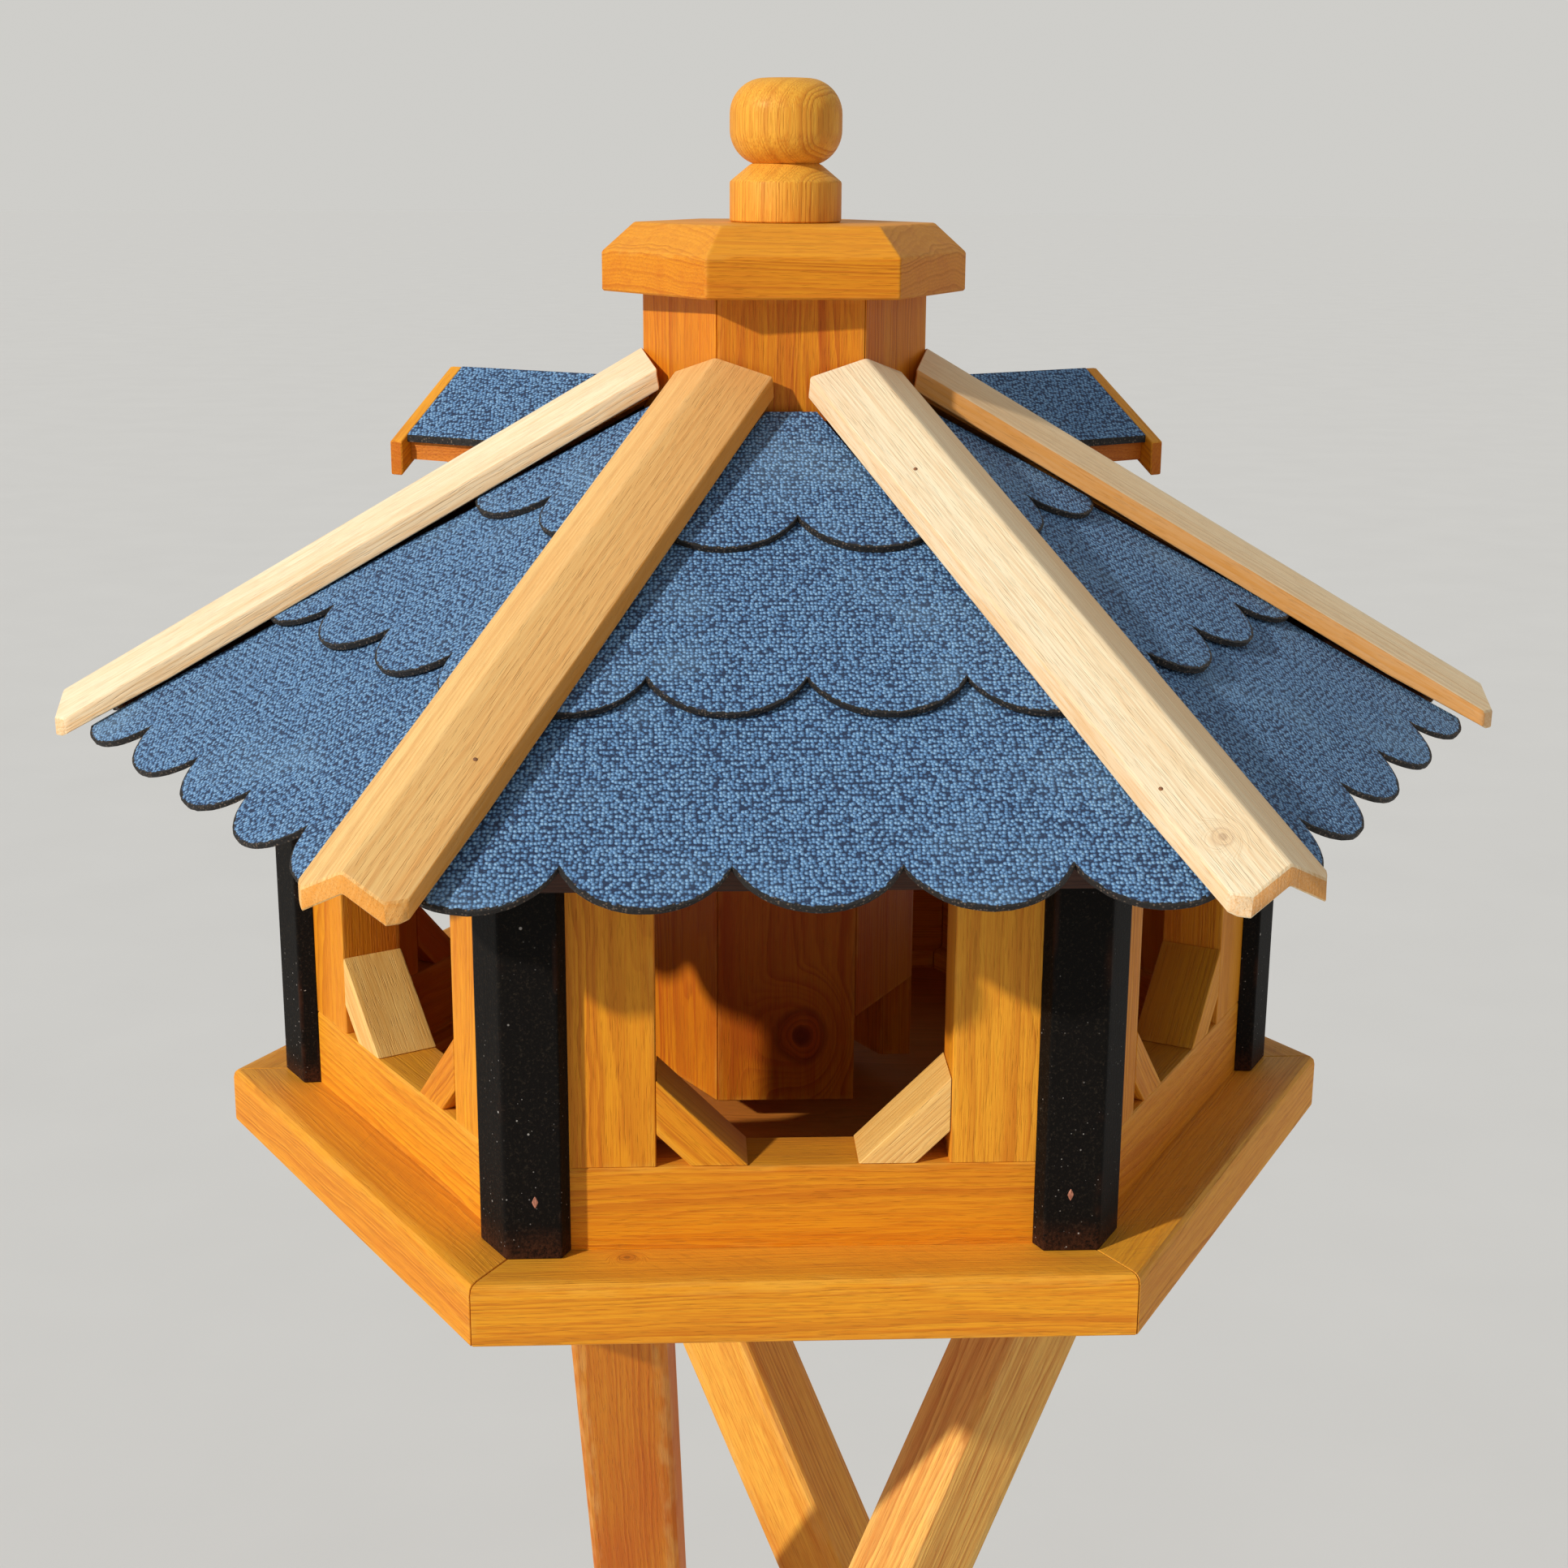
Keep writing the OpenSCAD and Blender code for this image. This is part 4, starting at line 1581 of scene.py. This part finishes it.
CAP_LOOKS = {
    Corner.FRONT_RIGHT: CapLook(0.1, 0.3, (0.6, 0.0), ((74.2, -15.0), (274.0, -20.5)), PINE_KNOT),
    Corner.RIGHT: CapLook(0.25, 1.0, (-0.1, 0.3)),
    Corner.BACK_RIGHT: CapLook(0.05, 0.3, nails=((96.0, 14.0),)),
    Corner.BACK_LEFT: CapLook(0.1, 0.5, nails=((240.0, -15.0),), wood=TAN_PINE),
    Corner.LEFT: CapLook(-0.1, 0.3),
    Corner.FRONT_LEFT: CapLook(0.0, 0.8, (0.3, 0.6), ((258.0, 15.9),), TAN_PINE),
}


@dataclass
class HipCaps:
    """Inverted-V strips over the hips, pale or tan, each held by a few nails."""

    house: House
    end_r: float = 351.0
    width: float = 51.0
    fall: float = 10.6
    edge: float = 6.8
    skirt: float = 2.0
    skirt_band: float = 1.5
    skirt_off: float = 12.0
    skirt_run: float = 25.0
    rim: float = 3.0
    peak_t: float = 7.8
    lift: float = 25.0
    dip: float = math.radians(1.4)
    clip: float = 6.5
    notch: float = math.radians(16)
    radii: tuple[float, ...] = (1.1, 0.8, 0.6, 1.0, 0.6, 0.8, 1.1, 1.3)
    nail_r: float = 0.95
    nail_h: float = 0.5
    knot: Knot = (304.8, -13.8, -6.0, 3.6)
    woods: tuple[Timber, ...] = (PINE, PINE_KNOT, TAN_PINE)

    @property
    def slope(self) -> float:
        """Fall of a cap along its length."""
        return self.house.hip_pitch + self.dip

    def place(self) -> Place:
        """Frame of a cap on the +X hip: down the hip, across it, and off its peak."""
        c, s = math.cos(self.slope), math.sin(self.slope)
        top = self.house.roof_z + self.lift / math.cos(self.house.hip_pitch)
        return Place((self.house.silo_r, 0, top), ((c, 0, -s), (0, 1, 0), (s, 0, c)))

    def upper_cut(self, section: Array) -> Array:
        """Length at which a cap meets the two upright planes that notch it at the neck."""
        wing = np.abs(section[:, 0]) * math.tan(self.notch)
        return (self.house.seat - wing - section[:, 1] * math.sin(self.slope)) / math.cos(self.slope)

    def lower_cut(self, section: Array) -> Array:
        """Length at which a cap meets the upright plane at its end, with its corners clipped."""
        clipped = np.maximum(0, np.abs(section[:, 0]) - (self.width / 2 - self.clip))
        run = self.end_r - clipped - self.house.silo_r - section[:, 1] * math.sin(self.slope)
        return run / math.cos(self.slope)

    def build(self, bench: Bench) -> None:
        """Makes the six strips and their nails."""
        h, low = self.width / 2, -self.fall - self.edge
        section = [
            [-h, -self.fall],
            [-h, low],
            [self.rim - h, low],
            [0, -self.peak_t],
            [h - self.rim, low],
            [h, low],
            [h, -self.fall],
            [0, 0],
        ]
        place = self.place()
        strips, heads = [], []
        for corner in Corner:
            look = CAP_LOOKS[corner]
            strip = bench.board(
                section,
                self.upper_cut,
                self.lower_cut,
                place,
                radii=self.radii,
                chamfer=0.7,
                spans=6,
                tone=look.tone,
                knot=self.knot if look.wood.knotty else None,
                finish=self.woods.index(look.wood),
                flank=look.flank,
                clip=h - self.clip,
            )
            strip = self.skirted(strip, place)
            # painted shade across the strip, with a darker tone towards the neck
            side, up = look.shade_and_tone_slants
            inward = 1 - strip.points[:, 0] / self.end_r
            strip.tone = look.tone + side * strip.points[:, 1] / h + up * inward
            strips.append(strip.turned(corner.turn))
            heads.extend(head.turned(corner.turn) for head in self.heads(place, look.nails))
        bench.make("hip_cap_strips", strips, self.woods, ["hip_caps"])
        bench.make("hip_cap_nails", heads, [IRON])

    def skirted(self, strip: Surface, place: Place) -> Surface:
        """Lets the two lower edges hang a little deeper, except near the strip's lower end.

        Args:
            strip: The strip on the +X hip.
            place: Its local frame.

        Returns:
            The same strip.
        """
        along, across, up = ((strip.points - np.asarray(place.origin)) @ np.asarray(place.axes).T).T
        low = up < self.skirt_band - self.fall - self.edge
        outer = np.abs(across) > self.width / 2 - self.rim - self.skirt_band
        share = np.clip((along.max() - self.skirt_off - along) / self.skirt_run, 0, 1)
        drop = self.skirt * (low & outer) * share
        strip.points = strip.points - drop[:, None] * np.asarray(place.axes)[2]
        return strip

    def heads(self, place: Place, nails: Sequence[tuple[float, float]]) -> list[Surface]:
        """Nail heads on the +X strip, set just proud of its sloping top.

        Args:
            place: The strip's local frame.
            nails: Places of the nails along and across it.

        Returns:
            The heads.
        """
        made = []
        slant = -self.fall / (self.width / 2)
        for along, across in nails:
            spot = place.put(np.array([along, across, abs(across) * slant]))
            normal = np.array([0, -slant * math.copysign(1, across), 1.0]) @ np.asarray(place.axes)
            made.append(dome(spot, normal, (self.nail_r, self.nail_r), self.nail_h, around=10))
        return made


@dataclass
class Hopper:
    """Silo of six upright boards, the lid on it and the turned finial."""

    house: House
    silo_t: float = 14.0
    seed_gap: float = 13.5
    mouth_h: float = 43.0
    mouths: tuple[Face, ...] = (Face.FRONT_RIGHT, Face.BACK_LEFT)
    lid_r: float = 86.5
    lid_side: float = 18.0
    lid_t: float = 31.5
    lid_top_r: float = 71.0
    lid_turn: float = math.radians(3.5)
    lid_soft: tuple[float, ...] = (0.8, 0.6, 2.0, 0.5)
    lid_pith: tuple[float, float] = (25.0, 190.0)
    knob_r: float = 26.2
    base_h: float = 18.5
    slope_h: float = 8.0
    neck_r: float = 15.9
    ball_h: float = 19.6
    shoulder: float = 16.2
    knob_pith: tuple[float, float] = (44.0, -26.0)
    knob_around: int = 72
    knot: Knot = (33.8, 7.2, -58.5, 12.0)
    # painted light and shade up the silo: pale at the lit foot, redder and darker up to the roof, pale again
    # at the neck
    lit_foot: float = 95.0
    silo_shade_tones: tuple[float, ...] = (0.35, 0.75, 0.9, 0.3)
    lid_tone: float = 0.3
    knob_tone: float = -0.75

    def build(self, bench: Bench) -> None:
        """Makes the silo, the lid and the finial."""
        bench.make("silo_boards", self.silo(bench), [SILO_SHADE_WOOD, SILO_SHADE_KNOT], ["silo"])
        bench.make("lid_block", [self.lid(bench)], [HONEY], ["lid"])
        bench.make("finial_knob", [self.finial(bench)], [HONEY], ["finial"])

    def silo(self, bench: Bench) -> list[Surface]:
        """Six mitred boards with painted shade, redder and darker under the roof than at their lit foot and
        at the neck; two stop short over a mouth, the front one has a knot.
        """
        hs = self.house
        out, back = hs.silo_a, hs.silo_a - self.silo_t
        wide, narrow = hs.mitre(out), hs.mitre(back)
        plan = [[-wide, -out], [wide, -out], [narrow, -back], [-narrow, -back]]
        foot = hs.stand_h + hs.floor_t + self.seed_gap
        heights = [foot, foot + self.lit_foot, hs.roof_z - hs.rail_h, hs.roof_z]
        made = []
        for face in Face:
            knot = self.knot if face is Face.FRONT else None
            mouth = self.mouth_h if face in self.mouths else 0.0
            board = bench.board(
                plan,
                level(mouth),
                level(hs.silo_top - foot),
                upright(foot),
                radii=0.8,
                chamfer=0.4,
                spans=8,
                knot=knot,
                finish=int(knot is not None),
            )
            # painted shade: tone by height, darker and redder under the roof
            board.tone = np.interp(board.points[:, 2], heights, self.silo_shade_tones)
            made.append(board.turned(face.turn))
        return made

    def lid(self, bench: Bench) -> Surface:
        """Hexagonal block: rounded hexagons stacked up the side and in along the bevel.

        Args:
            bench: The bench.

        Returns:
            The closed surface.
        """
        soft, nose, flat, lip = self.lid_soft
        angle = np.arange(SIDES) * STEP
        hexagon, mark = rounded(np.stack([np.cos(angle), np.sin(angle)], 1), 0.01, 4, 0.012)
        rise = self.lid_t - self.lid_side
        shrink = self.lid_r - self.lid_top_r
        bevel = np.array([nose, flat, shrink - flat, shrink - lip])
        inward = np.concatenate([[soft, 0.0, 0.0, 0.0, 0.0], bevel, [shrink + nose]])
        side = [0.0, soft, flat, self.lid_side - flat, self.lid_side - lip]
        heights = np.concatenate([side, self.lid_side + bevel / shrink * rise, [self.lid_t]])
        marks = np.array([0.4, 1, 0, 0, 1, 1, 0, 0, 1, 0.4])
        x, y = (self.lid_r - inward)[:, None] * hexagon.T[:, None, :]
        local, quads, ends = stacked(x, y, heights[:, None])
        base = np.array([0, 0, self.house.silo_top + self.house.seat])
        grain = local + np.array([bench.stock.shift(), *self.lid_pith])
        arris = np.maximum(marks[:, None], mark[None, :]).ravel()
        return Surface(local + base, quads, ends, grain, arris, self.lid_tone).turned(self.lid_turn)

    def profile(self) -> tuple[Array, Array]:
        """Outline of the finial: base, slope to the neck, and a squat ball with round shoulders.

        Returns:
            Radius and height of each turned ring.
        """
        flat = self.knob_r - self.shoulder
        straight = self.ball_h - self.shoulder
        low = math.asin((self.neck_r - flat) / self.shoulder)
        drop = straight + self.shoulder * math.cos(low)
        neck = self.base_h + self.slope_h
        middle = neck + drop
        under = np.linspace(low, math.pi / 2, 12)
        over = np.linspace(math.pi / 2, 0, 14)
        rings = [
            (self.knob_r - 0.6, 0.0),
            (self.knob_r, 0.6),
            (self.knob_r, self.base_h - 0.9),
            (self.knob_r - 0.3, self.base_h - 0.1),
            (self.knob_r - 1.2, self.base_h + 0.7),
            (self.neck_r + 1.2, neck - 0.9),
            (self.neck_r - 0.4, neck - 0.05),
        ]
        for turn, hand in ((under, -1), (over, 1)):
            r = flat + self.shoulder * np.sin(turn)
            rings += zip(r, middle + hand * (straight + self.shoulder * np.cos(turn)))
        rings.append((flat * 0.5, middle + self.ball_h))
        r, z = np.array(rings).T
        return r, z

    def finial(self, bench: Bench) -> Surface:
        """The outline turned about the axis, its grain upright."""
        r, z = self.profile()
        angle = np.linspace(0, 2 * math.pi, self.knob_around, endpoint=False)
        local, quads, ends = stacked(r[:, None] * np.cos(angle), r[:, None] * np.sin(angle), z[:, None])
        base = np.array([0, 0, self.house.silo_top + self.lid_t + 2 * self.house.seat])
        grain = local[:, [2, 0, 1]] + np.array([bench.stock.shift(), *self.knob_pith])
        return Surface(local + base, quads, ends, grain, None, self.knob_tone)


@dataclass
class Dormers:
    """Bargeboards across the ends of the two small dormers at the back."""

    house: House
    out: float = 186.0
    rise: float = 11.0
    pitch: float = math.radians(31.5)
    barge_t: float = 7.0
    barge_h: float = 17.0
    barge_half: float = 54.0
    faces: tuple[Face, ...] = (Face.BACK_RIGHT, Face.BACK_LEFT)

    def build(self, bench: Bench) -> None:
        """Makes the bargeboards: upright-cut boards that follow the dormer roof's slope."""
        hs = self.house
        section = [[0, -self.barge_h], [self.barge_t, -self.barge_h], [self.barge_t, 0], [0, 0]]
        y = -self.out - hs.seat - self.barge_t
        fall = math.tan(self.pitch)
        made = []
        for face in self.faces:
            for hand in (-1, 1):
                axes = ((1, 0, -hand * fall), (0, 1, 0), (0, 0, 1))
                ends = sorted([hand * hs.seat, hand * self.barge_half])
                place = Place((0, y, hs.roof_z + self.rise), axes)
                board = bench.board(section, *map(level, ends), place, radii=1.2, chamfer=0.5)
                made.append(board.turned(face.turn))
        bench.make("dormer_bargeboards", made, [HONEY], ["bargeboards"])


@dataclass
class Carcass:
    """Solids of the frame that stay as they are under a better finish."""

    faces: tuple[Face, ...] = tuple(Face)
    dormers: tuple[str, ...] = ("dormer_walls", "dormer_roofs")

    def build(self, bench: Bench) -> None:
        """Dresses the floor, panels, rails, battens and dormers, each panel's grain along its eave; panels
        and rails take a very dark pine that paints the shade they lie in.
        """
        for face in self.faces:
            turn = -face.turn % math.pi
            # roof panels in the very dark pine of the painted shade
            wood = replace(DARK, name="roof_board_pine_painted_shade_%d" % round(math.degrees(turn)), turn=turn)
            bench.dress_node("roof_panel_" + face.label, wood)
        for node in self.dormers:
            bench.dress_node(node, DORMER_WOOD)
        bench.dress_node("floor_panel", FLOOR_WOOD)
        # head rails in the very dark pine of the painted shade
        bench.dress_node("head_rails", DARK)
        bench.dress_node("hip_battens", BATTEN_WOOD)
        bench.dress_node("dormer_felt", FELT)


@dataclass
class Studio:
    """Pale floor, a low sun, an even sky and the camera at the photograph's angle."""

    position: tuple[float, float, float] = (-0.0541, -1.1188, 1.3291)
    yaw: float = math.radians(2.822)
    pitch: float = math.radians(15.1)
    roll: float = math.radians(0.374)
    focal_pixels: float = 2858.0
    sun_height: float = math.radians(28)
    sun_left: float = math.radians(54)
    sun_strength: float = 2.95
    sun_size: float = math.radians(2)
    sun_colour: tuple[float, float, float] = (1.0, 0.965, 0.91)
    sky_strength: float = 0.37
    sky: Colour = (0.97, 0.985, 1.0, 1.0)
    backdrop: Colour = (0.622, 0.615, 0.589, 1.0)
    floor_radii: tuple[float, float] = (50.0, 60000.0)
    floor_rings: tuple[int, int] = (24, 64)
    floor_drop: float = 0.05

    def build(self, bench: Bench) -> None:
        """Makes the camera, the lamp, the sky and the floor."""
        scene = bpy.context.scene
        scene.view_settings.view_transform = "Standard"
        self.camera(scene)
        self.lamp(scene)
        self.world(scene)
        self.floor(bench)

    def camera(self, scene: bpy.types.Scene) -> None:
        """Camera from the fitted turn: forward, right and up are worked out from yaw, pitch and roll."""
        cy, sy = math.cos(self.yaw), math.sin(self.yaw)
        cp, sp = math.cos(self.pitch), math.sin(self.pitch)
        forward = np.array([sy * cp, cy * cp, -sp])
        right = np.array([cy, -sy, 0.0])
        up = np.cross(right, forward)
        cr, sr = math.cos(self.roll), math.sin(self.roll)
        turned = np.stack([cr * right + sr * up, cr * up - sr * right, -forward], axis=1)
        lens = bpy.data.cameras.new("photo_camera")
        lens.sensor_width = SENSOR_MM
        lens.lens = SENSOR_MM * self.focal_pixels / PHOTO_PIXELS
        camera = bpy.data.objects.new("photo_camera", lens)
        matrix = np.eye(4)
        matrix[:3, :3] = turned
        matrix[:3, 3] = self.position
        camera.matrix_world = Matrix(matrix.tolist())
        scene.collection.objects.link(camera)
        scene.camera = camera

    def lamp(self, scene: bpy.types.Scene) -> None:
        """Low sun from the front left."""
        data = bpy.data.lights.new("key_light", "SUN")
        data.energy = self.sun_strength
        data.angle = self.sun_size
        data.color = self.sun_colour
        lamp = bpy.data.objects.new("key_light", data)
        flat = math.cos(self.sun_height)
        left, front = -math.sin(self.sun_left) * flat, -math.cos(self.sun_left) * flat
        towards = Vector((left, front, math.sin(self.sun_height)))
        lamp.rotation_mode = "QUATERNION"
        lamp.rotation_quaternion = towards.to_track_quat("Z", "Y")
        scene.collection.objects.link(lamp)

    def world(self, scene: bpy.types.Scene) -> None:
        """Even sky for light, and a plain pale tone where the camera sees past the floor."""
        world = bpy.data.worlds.new("studio_sky")
        scene.world = world
        world.use_nodes = True
        tree = world.node_tree
        light = tree.nodes["Background"]
        light.inputs["Color"].default_value = self.sky
        light.inputs["Strength"].default_value = self.sky_strength
        seen = tree.nodes.new("ShaderNodeBackground")
        seen.inputs["Color"].default_value = self.backdrop
        path = tree.nodes.new("ShaderNodeLightPath")
        mix = tree.nodes.new("ShaderNodeMixShader")
        straight = path.outputs["Is Camera Ray"]
        for ray in ("Is Glossy Ray", "Is Transmission Ray"):
            either = tree.nodes.new("ShaderNodeMath")
            either.operation = "MAXIMUM"
            tree.links.new(straight, either.inputs[0])
            tree.links.new(path.outputs[ray], either.inputs[1])
            straight = either.outputs[0]
        tree.links.new(straight, mix.inputs[0])
        tree.links.new(light.outputs[0], mix.inputs[1])
        tree.links.new(seen.outputs[0], mix.inputs[2])
        tree.links.new(mix.outputs[0], tree.nodes["World Output"].inputs["Surface"])

    def floor(self, bench: Bench) -> None:
        """Round floor: rings of growing radius about the axis."""
        rings, around = self.floor_rings
        r = np.geomspace(*self.floor_radii, rings)[:, None]
        angle = np.linspace(0, 2 * math.pi, around, endpoint=False)
        points, quads, _ = stacked(r * np.cos(angle), r * np.sin(angle), -self.floor_drop)
        faces = quads[:, ::-1].tolist() + [list(range(around))]
        floor = bench.mesh_object("studio_floor", points, faces)
        floor.data.materials.append(bench.finish(PLASTER))


def main() -> None:
    """Loads the frame and builds every sub-assembly."""
    logging.basicConfig(level=logging.INFO, format="%(name)s %(message)s")
    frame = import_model()
    bench = Bench(frame, Stock(np.random.default_rng(SEED)))
    house = House()
    assemblies = [
        Studio(),
        Stand(house),
        Tray(house),
        Posts(house),
        Roofing(house),
        HipCaps(house),
        Hopper(house),
        Dormers(house),
        Carcass(),
    ]
    for assembly in assemblies:
        LOG.info("building %s", type(assembly).__name__)
        assembly.build(bench)


if __name__ == "__main__":
    main()
